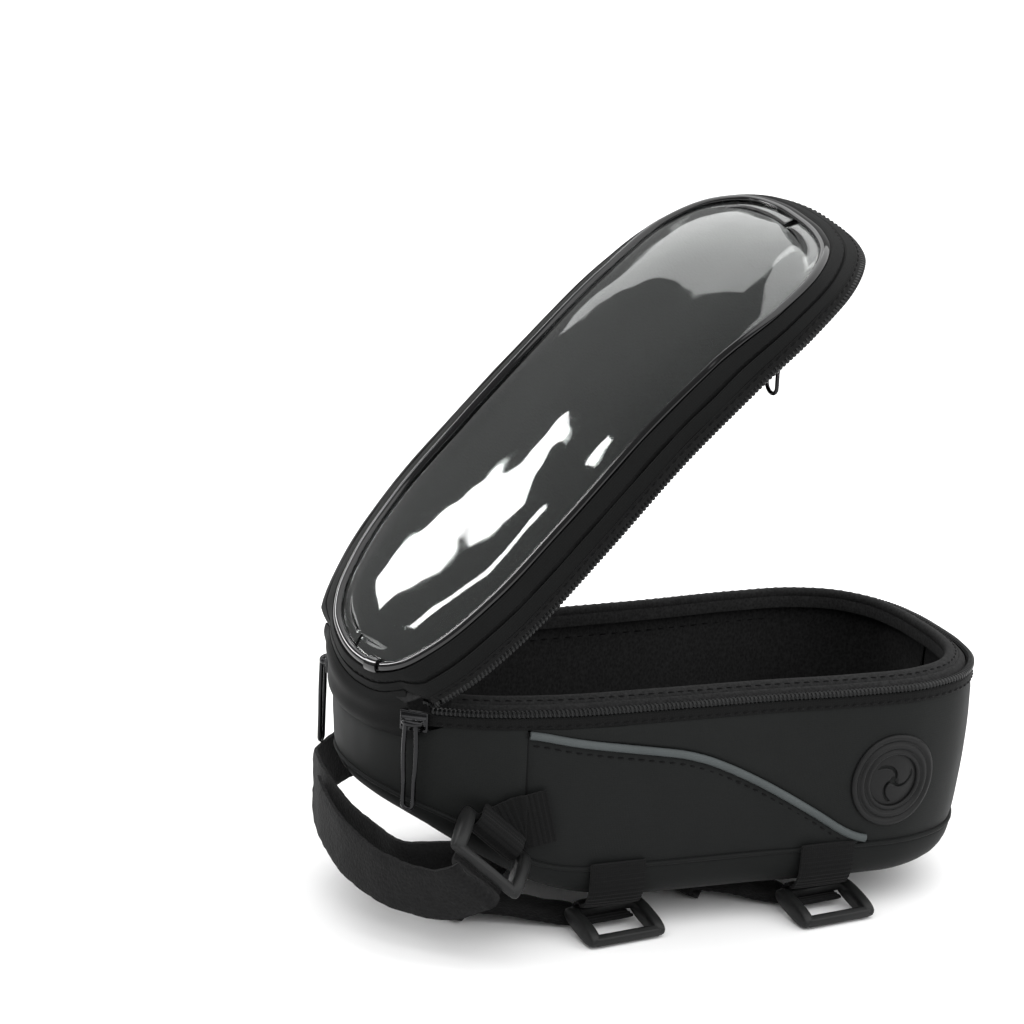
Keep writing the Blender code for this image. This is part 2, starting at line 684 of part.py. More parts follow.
def round_bar(bar, out, up, radius, degrees, across):
    """Path rows round a buckle's bar: angles are measured from out towards up."""
    rows = []
    for turn in degrees:
        spot = bar + (out * math.cos(math.radians(turn)) + up * math.sin(math.radians(turn))) * radius
        rows.append((*spot, *across))
    return rows


def build_straps():
    """Webbing tabs, loops and hook-and-loop straps under the bag."""
    for tag, x, front in (("middle", 74.6, -54.2), ("wide", 144.0, -58.4)):
        long_way = Vector((0.992, 0.125, 0.0))
        out = Vector((0.122, -0.965, -0.232)).normalized()
        up = out.cross(long_way)
        outer = Vector((x, front, 2.3))
        centre = outer - out * BAR_REACH
        buckle("buckle_" + tag, centre, long_way, out)
        inner = centre - out * BAR_REACH
        wide = tuple(long_way)
        s = arc_at(inner.x, -1)
        rows = [(*on_wall(s, z, depth), 1, 0, 0) for z, depth in (
            (24.5, -1.15), (19.0, -1.2), (14.2, -0.3), (10.0, 2.6))]
        rows += round_bar(inner, out, up, 2.95, (70, 110, 180, 250, 300), wide)
        rows.append((*(inner + out * 4.2 - up * 1.9), *wide))
        ribbon("tab_" + tag, rows, WEB_WIDTH, WEB_THICK, WEBBING)
    flat_strap("strap_middle", 76.0, (28.5, -17.0), (68.0, -33.0))
    flat_strap("strap_wide", 147.0, (106.0, -20.0), (138.5, -35.0))
    hinge_end_straps()


def flat_strap(name, x, fold, tip):
    """Strap sewn to the far seam that runs under the base, folds over and ends at its buckle."""
    s = arc_at(x, 1)
    fold, tip = Vector((*fold, 0)), Vector((*tip, 0))
    start = Vector((x - 6.0, 34.0, 0))
    away = (fold - start).normalized()
    back = (tip - fold).normalized()
    line = (away + back).normalized()
    first = Vector((-away.y, away.x, 0))
    second = Vector((-back.y, back.x, 0))
    first = first if first.dot(line) > 0 else -first
    second = second if second.dot(line) > 0 else -second
    rows = [(*on_wall(s, z, depth), 1, 0, 0) for z, depth in (
        (23.5, -1.15), (18.8, -1.15), (13.0, 0.6), (7.6, 3.6), (3.2, 8.0))]
    rows += [(*(start + (fold - start) * share + Vector((0, 0, 1.3))), *first)
             for share in (0.0, 0.3, 0.62, 0.85)]
    rows += [(*(fold + away * 1.4 + Vector((0, 0, 1.8))), *(first + line)),
             (*(fold + away * 3.2 + Vector((0, 0, 3.2))), *line),
             (*(fold + away * 1.4 + back * 1.0 + Vector((0, 0, 4.4))), *(second + line))]
    rows += [(*(fold + (tip - fold) * share + Vector((0, 0, z))), *second)
             for share, z in ((0.25, 4.4), (0.5, 3.8), (0.75, 2.2), (1.0, 1.3))]
    ribbon(name, rows, 17.0, STRAP_THICK, HOOK_LOOP, 2)


def hinge_end_straps():
    """Loop, tab and the strap that closes round the frame's head, at the narrow end."""
    long_way = Vector((0.735, -0.19, -0.652)).normalized()
    out = Vector((-0.385, -0.819, -0.427)).normalized()
    out = (out - long_way * out.dot(long_way)).normalized()
    up = long_way.cross(out)
    up = up if up.y > 0 else -up
    outer = Vector((25.3, -60.0, 31.5))
    centre = outer - out * BAR_REACH
    buckle("buckle_hinge", centre, long_way, out)
    inner = centre - out * BAR_REACH
    wide = tuple(long_way)
    rows = [(47.4, -48.6, 40.4, 0.6, -0.13, -0.8), (44.0, -48.0, 40.0, 0.64, -0.14, -0.76),
            (40.4, -47.0, 39.6, 0.7, -0.17, -0.7)]
    rows += round_bar(inner, out, up, 3.1, (120, 90, 60, 30, 0, -30, -60, -90, -110), wide)
    rows.append((*(inner - out * 4.6 - up * 3.4), *wide))
    ribbon("tab_hinge", rows, WEB_WIDTH - 3.0, WEB_THICK, WEBBING, 2)
    rows = [(41.0, 47.4, 38.0, 0.1, 0, -1), (30.0, 45.2, 36.5, 0.3, 0, -0.95),
            (14.0, 38.5, 33.6, 0.2, 0.1, -0.97), (1.0, 24.0, 33.4, 0.1, 0.1, -1),
            (-3.8, 9.0, 35.4, 0.0, 0.0, -1), (-4.4, -5.0, 34.0, 0.05, -0.1, -1),
            (-2.2, -18.0, 30.8, 0.15, -0.15, -0.97), (3.0, -30.0, 27.6, 0.3, -0.18, -0.93),
            (10.0, -40.5, 26.2, 0.5, -0.12, -0.87)]
    rows.append((*(outer - out * 6.4 + up * 7.2), *wide))
    rows.append((*(outer + up * 4.8), *wide))
    rows.append((*(outer + out * 4.2 + up * 4.5), *wide))
    rows += [(14.0, -54.5, 22.6, 0.55, -0.1, -0.83), (6.0, -46.8, 22.4, 0.45, -0.15, -0.88),
             (-1.4, -37.0, 24.4, 0.3, -0.2, -0.93), (-6.8, -24.5, 28.6, 0.15, -0.2, -0.97),
             (-8.6, -11.0, 33.4, 0.05, -0.1, -1), (-7.4, 2.0, 36.6, 0.0, 0.0, -1)]
    ribbon("strap_hinge", rows, STRAP_WIDTH, STRAP_THICK, HOOK_LOOP)


clear_scene()
build_walls([port_cutter(1), port_cutter(-1)])
build_rim()
build_lid(lid_frame())
port(-1, "near")
port(1, "far")
build_sliders()
build_straps()
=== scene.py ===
"""Looks of the open top-tube phone bag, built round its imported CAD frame.

Shapes are worked out in millimetres in the bag's own design space: x from the narrow
hinge end, y to the far side, z up from the ground. place() turns them into the row
frame. The lid is built closed, then drooped and opened by open_lid().
"""

import math

import bmesh
import bpy
import numpy as np
from mathutils import Matrix, Vector, noise


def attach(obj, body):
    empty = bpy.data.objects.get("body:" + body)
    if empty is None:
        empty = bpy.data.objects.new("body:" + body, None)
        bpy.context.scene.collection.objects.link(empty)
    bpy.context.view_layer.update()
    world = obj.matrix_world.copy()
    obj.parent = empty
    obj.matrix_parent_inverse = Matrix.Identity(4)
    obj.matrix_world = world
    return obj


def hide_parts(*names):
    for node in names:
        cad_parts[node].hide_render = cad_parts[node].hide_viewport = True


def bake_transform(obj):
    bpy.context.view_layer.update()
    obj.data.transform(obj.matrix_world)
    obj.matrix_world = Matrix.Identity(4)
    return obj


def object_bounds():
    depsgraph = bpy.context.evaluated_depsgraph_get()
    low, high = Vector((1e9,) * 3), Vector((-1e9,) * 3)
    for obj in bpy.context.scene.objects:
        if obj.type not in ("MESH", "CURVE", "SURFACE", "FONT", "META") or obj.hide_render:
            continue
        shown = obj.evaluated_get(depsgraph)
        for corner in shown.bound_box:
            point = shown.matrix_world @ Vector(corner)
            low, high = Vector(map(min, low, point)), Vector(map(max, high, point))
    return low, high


MM = 0.001
LENGTH = 205.0
RIM = 74.0
UNDERSIDE = 9.6
SEAM_LOW = 22.4
ORIGIN = np.array((LENGTH / 2, 0.0, UNDERSIDE))
HALF_OUTLINE = (
    (0, 0), (1.0, 10.0), (4.2, 20.5), (12.5, 31.5), (28, 40.5), (52, 46.5), (85, 48.5),
    (120, 49.5), (152, 51.5), (174, 50.5), (190, 43.5), (200.5, 30), (204.3, 15), (205, 0),
)
SEAM = ((0, 47.0), (10, 43.5), (22, 39.5), (34, 32.0), (45, 25.5), (60, SEAM_LOW), (205, SEAM_LOW))
BASE = ((0, 39.0), (10, 35.5), (22, 29.0), (34, 23.0), (45, 17.5), (60, 12.5),
        (80, UNDERSIDE), (170, UNDERSIDE), (190, 10.5), (205, 12.5))
PIPING = ((43, 67.0), (58, 63.5), (81, 59.5), (95.5, 57.0), (108.5, 51.5), (124, 43.0),
          (140, 32.8), (150.5, 25.6), (157, 24.2))
BULGE = 1.0
RAKE = 4.0
RAKE_TO = 60.0
RAKE_TALL = 40.0
TAPER = 4.0
TAPER_FROM = 140.0
TAPER_TOP = RIM - 4.0
TAPER_TALL = 46.0
SEAM_X = 43.0
SWOOSH_END = 154.0
SIDE_TOP = RIM - 6.0
PORT_X = 163.5
PORT_Z = RIM - 30.5
HINGE = np.array((7.2, 0.0, RIM - 1.9))
HINGE_YAW = 15.7
LID_OPEN = 52.0
ZIP_NEAR = 36.0
ZIP_FAR = 28.0
DROOP_FROM = 107.6
DROOP = (9.3, 12.54)
ROLL = 9.3
TIP_TUCK = 6.0
BEAD_RISE = 9.9
TOOTH = 1.35
COIL = 1.25
COIL_RISE = 1.35
# Which draw of the smooth noise shapes the cloth's waves. Unset, it changes from run to run.
WAVE_DRAW = 1794921938

noise.seed_set(WAVE_DRAW)
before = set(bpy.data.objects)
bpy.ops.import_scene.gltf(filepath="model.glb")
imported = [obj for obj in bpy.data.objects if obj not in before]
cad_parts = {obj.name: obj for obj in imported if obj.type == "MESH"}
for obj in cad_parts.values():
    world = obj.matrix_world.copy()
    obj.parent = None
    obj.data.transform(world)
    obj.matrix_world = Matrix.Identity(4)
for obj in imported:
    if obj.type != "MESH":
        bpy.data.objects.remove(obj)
cad_box = [list(corner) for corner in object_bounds()]


# ---------------------------------------------------------------- the bag's outline


def unit(rows):
    return rows / np.linalg.norm(rows, axis=-1, keepdims=True)


def travelled(path):
    """Distance along a path up to each of its points."""
    return np.concatenate([[0], np.cumsum(np.linalg.norm(np.diff(path, axis=0), axis=1))])


def outline_table():
    """Fine closed outline: points, inward normals and arc length, from the tip by +Y."""
    half = np.array(HALF_OUTLINE, float)
    knots = np.concatenate([half, half[-2:0:-1] * (1, -1)])
    count = len(knots)
    fine = []
    for i in range(count):
        before, start, end, after = (knots[(i + k) % count] for k in (-1, 0, 1, 2))
        here = np.linalg.norm(end - start)
        back = np.linalg.norm(start - before)
        ahead = np.linalg.norm(after - end)
        leave = ((start - before) / back * here + (end - start) / here * back) / (back + here)
        arrive = ((end - start) / here * ahead + (after - end) / ahead * here) / (here + ahead)
        for t in np.arange(24) / 24:
            a, b = 2 * t**3 - 3 * t**2 + 1, t**3 - 2 * t**2 + t
            c, d = 3 * t**2 - 2 * t**3, t**3 - t**2
            fine.append(a * start + b * here * leave + c * end + d * here * arrive)
    points = np.array(fine + fine[:1])
    ring = points[:-1]
    along = unit(np.roll(ring, -1, 0) - np.roll(ring, 1, 0))
    normals = np.stack([along[:, 1], -along[:, 0]], 1)
    return points, np.concatenate([normals, normals[:1]]), travelled(points)


POINTS, NORMALS, ARC = outline_table()
AROUND = ARC[-1]


def outline(s):
    """Outline points and unit inward normals at arc lengths s."""
    s = np.asarray(s, float) % AROUND
    point = np.stack([np.interp(s, ARC, POINTS[:, k]) for k in (0, 1)], -1)
    normal = np.stack([np.interp(s, ARC, NORMALS[:, k]) for k in (0, 1)], -1)
    return point, unit(normal)


def arc_at(x, side):
    """Arc length where the outline reaches x, on the far side (1) or the near one (-1)."""
    half = len(ARC) // 2 + 1
    s = float(np.interp(x, POINTS[:half, 0], ARC[:half]))
    return s if side > 0 else AROUND - s


def height(table, s):
    """Height from a table, smoothed a little, at arc lengths s."""
    x = outline(s)[0][..., 0]
    table = np.array(table, float)
    spread = (-6, -3, 0, 3, 6)
    return sum(np.interp(np.clip(x + d, 0, LENGTH), *table.T) for d in spread) / len(spread)


def wall(s, z, depth):
    """Points at arc length s and height z, depth inside the wall's outer face.

    The wall bulges a little, and both its ends lean inwards towards the base."""
    s, z, depth = np.broadcast_arrays(*(np.asarray(v, float) for v in (s, z, depth)))
    point, normal = outline(s)
    share = np.clip((z - SEAM_LOW) / (RIM - SEAM_LOW), 0, 1)
    flat = point + normal * (depth - BULGE * np.sin(math.pi * share))[..., None]
    narrow = np.clip(1 - point[..., 0] / RAKE_TO, 0, 1)
    x = flat[..., 0] + RAKE * narrow**2 * np.clip((RIM - z) / RAKE_TALL, 0, 1.4)
    wide = np.clip((point[..., 0] - TAPER_FROM) / (LENGTH - TAPER_FROM), 0, 1)
    x = x - TAPER * wide * np.clip((TAPER_TOP - z) / TAPER_TALL, 0, 1)
    return np.stack([x, flat[..., 1], z], -1)


def side_axes(s):
    """Directions at the rim: along the outline, outwards and up."""
    normal = outline(s)[1]
    out = Vector((-normal[0], -normal[1], 0))
    return Vector((-out.y, out.x, 0)), out, Vector((0, 0, 1))


def tip_drop(s, amount):
    """The amount between the two sliders round the narrow end, easing to 0 past them."""
    reach = (np.asarray(s, float) + AROUND / 2) % AROUND - AROUND / 2
    edge = np.where(reach > 0, ZIP_FAR + 6 - reach, reach + ZIP_NEAR + 8)
    return amount * np.clip(edge / 10, 0, 1)


def hinge_axis():
    yaw = math.radians(HINGE_YAW)
    return Vector((math.sin(yaw), -math.cos(yaw), 0))


TURN = np.array(Matrix.Rotation(math.radians(LID_OPEN), 3, hinge_axis()))


def open_lid(points):
    """Closed lid to open lid: it droops towards its wide end, then turns on the hinge."""
    points = np.array(points, float)
    x, y = points[..., 0], points[..., 1]
    t = np.clip((x - DROOP_FROM) / (LENGTH - DROOP_FROM), 0, None)
    points[..., 2] -= DROOP[0] * t**2 + DROOP[1] * t**4 + ROLL * (y / 50) * (x / LENGTH) ** 2
    return HINGE + (points - HINGE) @ TURN.T


def as_it_is(points):
    return points


def place(points):
    return (np.asarray(points, float) - ORIGIN) * MM


# ---------------------------------------------------------------- mesh helpers


def linked(name, data):
    obj = bpy.data.objects.new(name, data)
    bpy.context.collection.objects.link(obj)
    return obj


def build(name, points, faces, look, uvs=None, sharp=38.0):
    """One mesh object from points in millimetres, shaded smooth with sharp edges kept."""
    mesh = bpy.data.meshes.new(name)
    bm = bmesh.new()
    made = [bm.verts.new(v) for v in place(points)]
    for face in faces:
        bm.faces.new([made[i] for i in face])
    if uvs is not None:
        layer = bm.loops.layers.uv.new("UVMap")
        bm.faces.ensure_lookup_table()
        for face, coords in zip(bm.faces, uvs):
            for loop, uv in zip(face.loops, coords):
                loop[layer].uv = uv
    bmesh.ops.recalc_face_normals(bm, faces=bm.faces)
    if bm.calc_volume(signed=True) < 0:
        bmesh.ops.reverse_faces(bm, faces=bm.faces)
    limit = math.radians(sharp)
    for face in bm.faces:
        face.smooth = True
    for edge in bm.edges:
        if edge.is_manifold and edge.calc_face_angle(0.0) > limit:
            edge.smooth = False
    bm.to_mesh(mesh)
    bm.free()
    mesh.materials.append(look)
    return linked(name + "_look", mesh)


def lattice(name, points, look, around=False, across=True, sharp=38.0):
    """Mesh from an (n, k, 3) array of points: n rows along, k points across each row.

    around joins the last row to the first, across joins the last point of a row to its
    first. Open ends are capped. UVs are millimetres along and across."""
    points = np.asarray(points, float)
    n, k = points.shape[:2]
    step = np.linalg.norm(np.diff(points, axis=0), axis=2).mean(1)
    u = np.concatenate([[0], np.cumsum(step)])
    u_all = u[-1] + np.linalg.norm(points[0] - points[-1], axis=1).mean()
    edge = np.linalg.norm(np.diff(points, axis=1), axis=2).mean(0)
    v = np.concatenate([[0], np.cumsum(edge)])
    v_all = v[-1] + np.linalg.norm(points[:, 0] - points[:, -1], axis=1).mean()
    faces, uvs = [], []
    for i in range(n if around else n - 1):
        j = (i + 1) % n
        u0, u1 = u[i], u[j] if j else u_all
        for a in range(k if across else k - 1):
            b = (a + 1) % k
            v0, v1 = v[a], v[b] if b else v_all
            faces.append((i * k + a, j * k + a, j * k + b, i * k + b))
            uvs.append(((u0, v0), (u1, v0), (u1, v1), (u0, v1)))
    if across and not around:
        for row in (range(k), range((n - 1) * k, n * k)):
            faces.append(tuple(row))
            uvs.append(tuple((0.0, v[a]) for a in range(k)))
    return build(name, points.reshape(-1, 3), faces, look, uvs, sharp)


def arcs(start, end, step, around=False):
    """Evenly spaced arc lengths from start to end."""
    count = max(int(round((end - start) / step)), 2)
    return np.linspace(start, end, count + (0 if around else 1), endpoint=not around)


def ripple(points, size, amount, seed):
    """Shifts points by smooth noise, as fabric does. size and amount in millimetres."""
    points = np.asarray(points, float)
    flat = points.reshape(-1, 3)
    moved = np.array([noise.noise_vector(Vector(p) / size + Vector((seed, 0, 0))) for p in flat])
    return (flat + moved * amount).reshape(points.shape)


def strip(name, s, low, high, look, warp=as_it_is, outer=0.0, inner=0.8, puff=0.0, cells=8,
          around=False, crease=0.0, seed=0.0):
    """Band of cloth along the wall from height low to high, puffed out between its edges."""
    t = np.linspace(0, 1, cells + 1)[None, :]
    low, high = (np.broadcast_to(v, s.shape)[:, None] for v in (low, high))
    pillow = np.minimum(1, 3.2 * np.sqrt(np.clip(t * (1 - t), 0, 1)))
    sink = np.linspace(0, 1, len(s))[:, None] if not around else np.full((len(s), 1), 0.5)
    ends = np.minimum(1, 14 * np.sqrt(np.clip(sink * (1 - sink), 0, 1)))
    depth = outer + 0.45 * puff - puff * pillow * ends
    front = wall(s[:, None], low + (high - low) * t, depth)
    if crease:
        moved = ripple(front, 17.0, crease, seed) + 0.45 * (ripple(front, 7.0, crease, seed) - front)
        front = front + (moved - front) * pillow[..., None]
    back = wall(s[:, None], low + (high - low) * t[:, ::-1], np.full_like(depth, inner))
    return lattice(name, warp(np.concatenate([front, back], 1)), look, around)


def profile_sweep(name, s, profile, look, warp=as_it_is, around=False, sharp=38.0):
    """Sweeps profile, a function of s giving closed (depth, z) points, along the wall."""
    rows = np.array([profile(v) for v in s])
    return lattice(name, warp(wall(s[:, None], rows[..., 1], rows[..., 0])), look, around,
                   sharp=sharp)


def circle(count, start=0.0):
    turns = start + 2 * math.pi * np.arange(count) / count
    return np.cos(turns), np.sin(turns)


def coil(name, s, z, depth, radius, look, warp=as_it_is, up=1.0):
    """Zip coil with its teeth as ribs, swept along the wall. up is the side the teeth meet on."""
    cos, sin = circle(8, math.radians(22.5))
    count = int((s[-1] - s[0]) / TOOTH)
    rows = []
    for tooth in range(count):
        for share, size in ((0.0, 0.74), (0.25, 1.0), (0.62, 1.0), (0.87, 0.74)):
            here = s[0] + (tooth + share) * TOOTH
            rows.append(wall(here + 0.3 * sin * up, z + radius * size * sin,
                             depth + radius * size * 1.1 * cos))
    return lattice(name, warp(np.array(rows)), look, sharp=30.0)


def frames_along(path, closed=False, side=None):
    """Side and up directions at each point of a path, without twist."""
    if closed:
        along = unit(np.roll(path, -1, 0) - np.roll(path, 1, 0))
    else:
        along = unit(np.gradient(path, axis=0))
    sides = []
    side = np.array(Vector(along[0]).orthogonal() if side is None else side, float)
    for t in along:
        side = side - t * (side @ t)
        side /= np.linalg.norm(side)
        sides.append(side)
    sides = np.array(sides)
    return sides, np.cross(along, sides)


def tube(name, path, radius, look, sides=12, closed=False, flat=1.0, side=None):
    """Round or flattened cord along a path."""
    path = np.asarray(path, float)
    a, b = frames_along(path, closed, side)
    cos, sin = circle(sides)
    points = path[:, None] + radius * (a[:, None] * cos[:, None] + flat * b[:, None] * sin[:, None])
    return lattice(name, points, look, closed, sharp=60.0)


def spline(rows, per_span):
    """Smooth path through the rows, with per_span points to each gap."""
    rows = np.array(rows, float)
    rows = np.concatenate([[2 * rows[0] - rows[1]], rows, [2 * rows[-1] - rows[-2]]])
    path = []
    for i in range(1, len(rows) - 2):
        p, q, r, t = rows[i - 1], rows[i], rows[i + 1], rows[i + 2]
        for u in np.arange(per_span) / per_span:
            path.append(0.5 * (2 * q + (r - p) * u + (2 * p - 5 * q + 4 * r - t) * u**2
                               + (3 * q - p - 3 * r + t) * u**3))
    path.append(rows[-2])
    return np.array(path)


def band(name, rows, width, thick, look, per_span=8, rib=0.0, fuzz=0.0, cells=12, round_tip=0):
    """Flat strap along rows of (x, y, z, direction of its width), ribbed or fuzzy."""
    path = spline(rows, per_span)
    if rib:
        fine = travelled(path[:, :3])
        even = np.arange(0, fine[-1], 0.4)
        path = np.stack([np.interp(even, fine, path[:, c]) for c in range(6)], 1)
    centre = path[:, :3]
    along = unit(np.gradient(centre, axis=0))
    wide_way = unit(path[:, 3:] - along * np.sum(path[:, 3:] * along, 1)[:, None])
    up = np.cross(along, wide_way)
    travel = travelled(centre)
    t = np.linspace(-1, 1, cells + 1)
    half = np.full(len(path), width / 2)
    if round_tip:
        left = np.clip((travel[-1] - travel) / round_tip, 0, 1)
        half = half * np.sqrt(np.clip(1 - (1 - left) ** 2, 0.03, 1))
    lift = thick / 2 * (1 - 0.35 * np.abs(t) ** 8)
    wave = rib * np.sin(2 * math.pi * travel / 1.6)
    top = (centre[:, None] + wide_way[:, None] * (half[:, None] * t)[..., None]
           + up[:, None] * (lift + wave[:, None])[..., None])
    bottom = (centre[:, None] + wide_way[:, None] * (half[:, None] * t[::-1])[..., None]
              - up[:, None] * (lift[::-1] + wave[:, None])[..., None])
    points = np.concatenate([top, bottom], 1)
    if fuzz:
        points = ripple(points, 1.6, fuzz, 3.0)
        points = ripple(points, 9.0, fuzz, 5.0)
    return lattice(name, points, look, sharp=50.0)


def stitches(name, path, normals, look, pitch=3.4, long=2.3, thick=0.32):
    """Row of thread stitches lying on a surface along a path."""
    path = np.asarray(path, float)
    travel = travelled(path)
    points, faces = [], []
    shape = ((0.0, 0.25, -0.5), (0.18, 0.8, 0.05), (0.5, 1.0, 0.3), (0.82, 0.8, 0.05),
             (1.0, 0.25, -0.5))
    for start in np.arange(0.6, travel[-1] - long, pitch):
        spots = start + np.array([row[0] for row in shape]) * long
        centre = np.stack([np.interp(spots, travel, path[:, c]) for c in range(3)], 1)
        up = unit(np.stack([np.interp(spots, travel, normals[:, c]) for c in range(3)], 1))
        along = centre[-1] - centre[0]
        side = np.cross(along / np.linalg.norm(along), up)
        first = len(points)
        for row, (_, size, rise) in enumerate(shape):
            for turn in range(6):
                a = math.pi * turn / 3
                points.append(centre[row] + up[row] * thick * rise
                              + (side[row] * math.cos(a) + up[row] * math.sin(a)) * thick * size)
        for row in range(len(shape) - 1):
            for turn in range(6):
                a, b = first + row * 6 + turn, first + row * 6 + (turn + 1) % 6
                faces.append((a, a + 6, b + 6, b))
        faces.append(tuple(first + k for k in range(6)))
        faces.append(tuple(first + 6 * (len(shape) - 1) + k for k in range(6)))
    return build(name, points, faces, look, sharp=80.0)


def wall_stitches(name, s, z, look, depth=0.0, warp=as_it_is, pitch=3.4):
    """Stitches on the wall, or on the lid by warp, along arc lengths s at heights z."""
    path = warp(wall(s, z, depth))
    lifted = warp(wall(s, z, np.asarray(depth) - 1.0))
    return stitches(name, path, lifted - path, look, pitch)


def rounded(name, centre, axes, size, radius, look, taper=1.0, segments=3):
    """Block with its own axes, rounded edges and a taper towards the end of axes[0]."""
    bm = bmesh.new()
    bmesh.ops.create_cube(bm, size=1.0)
    for v in bm.verts:
        shrink = taper if v.co.x > 0 else 1.0
        v.co = Vector((v.co.x * size[0], v.co.y * size[1], v.co.z * size[2] * shrink))
    bmesh.ops.bevel(bm, geom=bm.edges[:], offset=radius, segments=segments, profile=0.5,
                    affect="EDGES")
    basis = Matrix([list(a) for a in axes]).transposed()
    for v in bm.verts:
        v.co = basis @ v.co + Vector(centre)
    points = [tuple(v.co) for v in bm.verts]
    faces = [tuple(v.index for v in f.verts) for f in bm.faces]
    bm.free()
    return build(name, points, faces, look, sharp=50.0)


def joined(name, pieces):
    """Joins closed pieces into one object by union."""
    base = pieces[0]
    base.name = name + "_look"
    for other in pieces[1:]:
        change = base.modifiers.new("union", "BOOLEAN")
        change.operation = "UNION"
        change.solver = "EXACT"
        change.object = other
    graph = bpy.context.evaluated_depsgraph_get()
    mesh = bpy.data.meshes.new_from_object(base.evaluated_get(graph))
    base.modifiers.clear()
    base.data = mesh
    for other in pieces[1:]:
        bpy.data.objects.remove(other, do_unlink=True)
    return base


# ---------------------------------------------------------------- materials


def add(tree, kind, **values):
    """Node of a kind; values with a leading i_ set or link inputs, others set attributes."""
    made = tree.nodes.new("ShaderNode" + kind)
    for key, value in values.items():
        if key.startswith("i_"):
            key = key[2:]
            socket = made.inputs[int(key) if key.isdigit() else key.replace("_", " ")]
            if isinstance(value, bpy.types.NodeSocket):
                tree.links.new(value, socket)
            else:
                socket.default_value = value
        else:
            setattr(made, key, value)
    return made


def base_material(name, colour, rough, metallic=0.0):
    mat = bpy.data.materials.new(name)
    mat.use_nodes = True
    tree = mat.node_tree
    shader = tree.nodes["Principled BSDF"]
    shader.inputs["Base Color"].default_value = (*colour, 1.0)
    shader.inputs["Roughness"].default_value = rough
    shader.inputs["Metallic"].default_value = metallic
    return mat, tree, shader


def in_cloth(tree):
    """Place on the cloth, in millimetres along and across it."""
    return add(tree, "UVMap", uv_map="UVMap").outputs["UV"]


def in_object(tree):
    return add(tree, "TexCoord").outputs["Object"]


def speckle(tree, where, size, detail=3.0):
    return add(tree, "TexNoise", i_Vector=where, i_Scale=1.0 / size, i_Detail=detail).outputs["Fac"]


def bands(tree, where, pitch, direction):
    return add(tree, "TexWave", wave_type="BANDS", bands_direction=direction, i_Vector=where,
               i_Scale=2 * math.pi / 20 / pitch, i_Distortion=0.0).outputs["Fac"]


def maths(tree, operation, first, second):
    return add(tree, "Math", operation=operation, i_0=first, i_1=second).outputs[0]


def tint(tree, shader, factor, colour, spread):
    """Base colour that varies with a factor by a share of itself."""
    low = tuple(c * (1 - spread) for c in colour)
    high = tuple(c * (1 + spread) for c in colour)
    ramp = add(tree, "ValToRGB", i_Fac=factor)
    ramp.color_ramp.elements[0].position = 0.3
    ramp.color_ramp.elements[0].color = (*low, 1)
    ramp.color_ramp.elements[1].position = 0.7
    ramp.color_ramp.elements[1].color = (*high, 1)
    tree.links.new(ramp.outputs["Color"], shader.inputs["Base Color"])


def roughen(tree, shader, factor, rough, spread):
    made = add(tree, "MapRange", i_Value=factor, i_To_Min=rough - spread, i_To_Max=rough + spread)
    tree.links.new(made.outputs[0], shader.inputs["Roughness"])


def bump(tree, shader, factor, deep, strength=1.0):
    """Bump from a 0 to 1 factor, deep in millimetres."""
    made = add(tree, "Bump", i_Height=factor, i_Distance=deep * MM, i_Strength=strength)
    tree.links.new(made.outputs["Normal"], shader.inputs["Normal"])


def cloth(name, colour, rough, pitch=0.55, deep=0.05, mottle=0.22, sheen=0.15, grain=0.5):
    """Woven fabric: crossed threads, fine grain, and slow changes of colour and gloss."""
    mat, tree, shader = base_material(name, colour, rough)
    uv = in_cloth(tree)
    weave = maths(tree, "MULTIPLY", bands(tree, uv, pitch, "X"), bands(tree, uv, pitch, "Y"))
    fine = speckle(tree, uv, pitch * 1.3)
    slow = speckle(tree, uv, 19.0, 4.0)
    both = maths(tree, "ADD", maths(tree, "MULTIPLY", weave, 1 - grain),
                 maths(tree, "MULTIPLY", fine, grain))
    mixed = maths(tree, "ADD", maths(tree, "MULTIPLY", both, 0.45),
                  maths(tree, "MULTIPLY", slow, 0.55))
    tint(tree, shader, mixed, colour, mottle)
    roughen(tree, shader, slow, rough, 0.07)
    bump(tree, shader, both, deep)
    shader.inputs["Sheen Weight"].default_value = sheen
    shader.inputs["Sheen Roughness"].default_value = 0.5
    shader.inputs["Specular IOR Level"].default_value = 0.10
    return mat


def plush(name, colour, size, deep, sheen):
    """Brushed or looped cloth: matted fibres and lint."""
    mat, tree, shader = base_material(name, colour, 0.9)
    uv = in_cloth(tree)
    stretched = add(tree, "Mapping", i_Vector=uv, i_Scale=(1.0, 0.45, 1.0)).outputs[0]
    fibres = speckle(tree, stretched, size, 5.0)
    clumps = add(tree, "TexVoronoi", i_Vector=uv, i_Scale=0.55 / size).outputs["Distance"]
    both = maths(tree, "ADD", maths(tree, "MULTIPLY", fibres, 0.65),
                 maths(tree, "MULTIPLY", clumps, 0.35))
    tint(tree, shader, both, colour, 0.45)
    roughen(tree, shader, fibres, 0.9, 0.06)
    bump(tree, shader, both, deep)
    shader.inputs["Sheen Weight"].default_value = sheen
    shader.inputs["Sheen Roughness"].default_value = 0.6
    shader.inputs["Specular IOR Level"].default_value = 0.08
    return mat


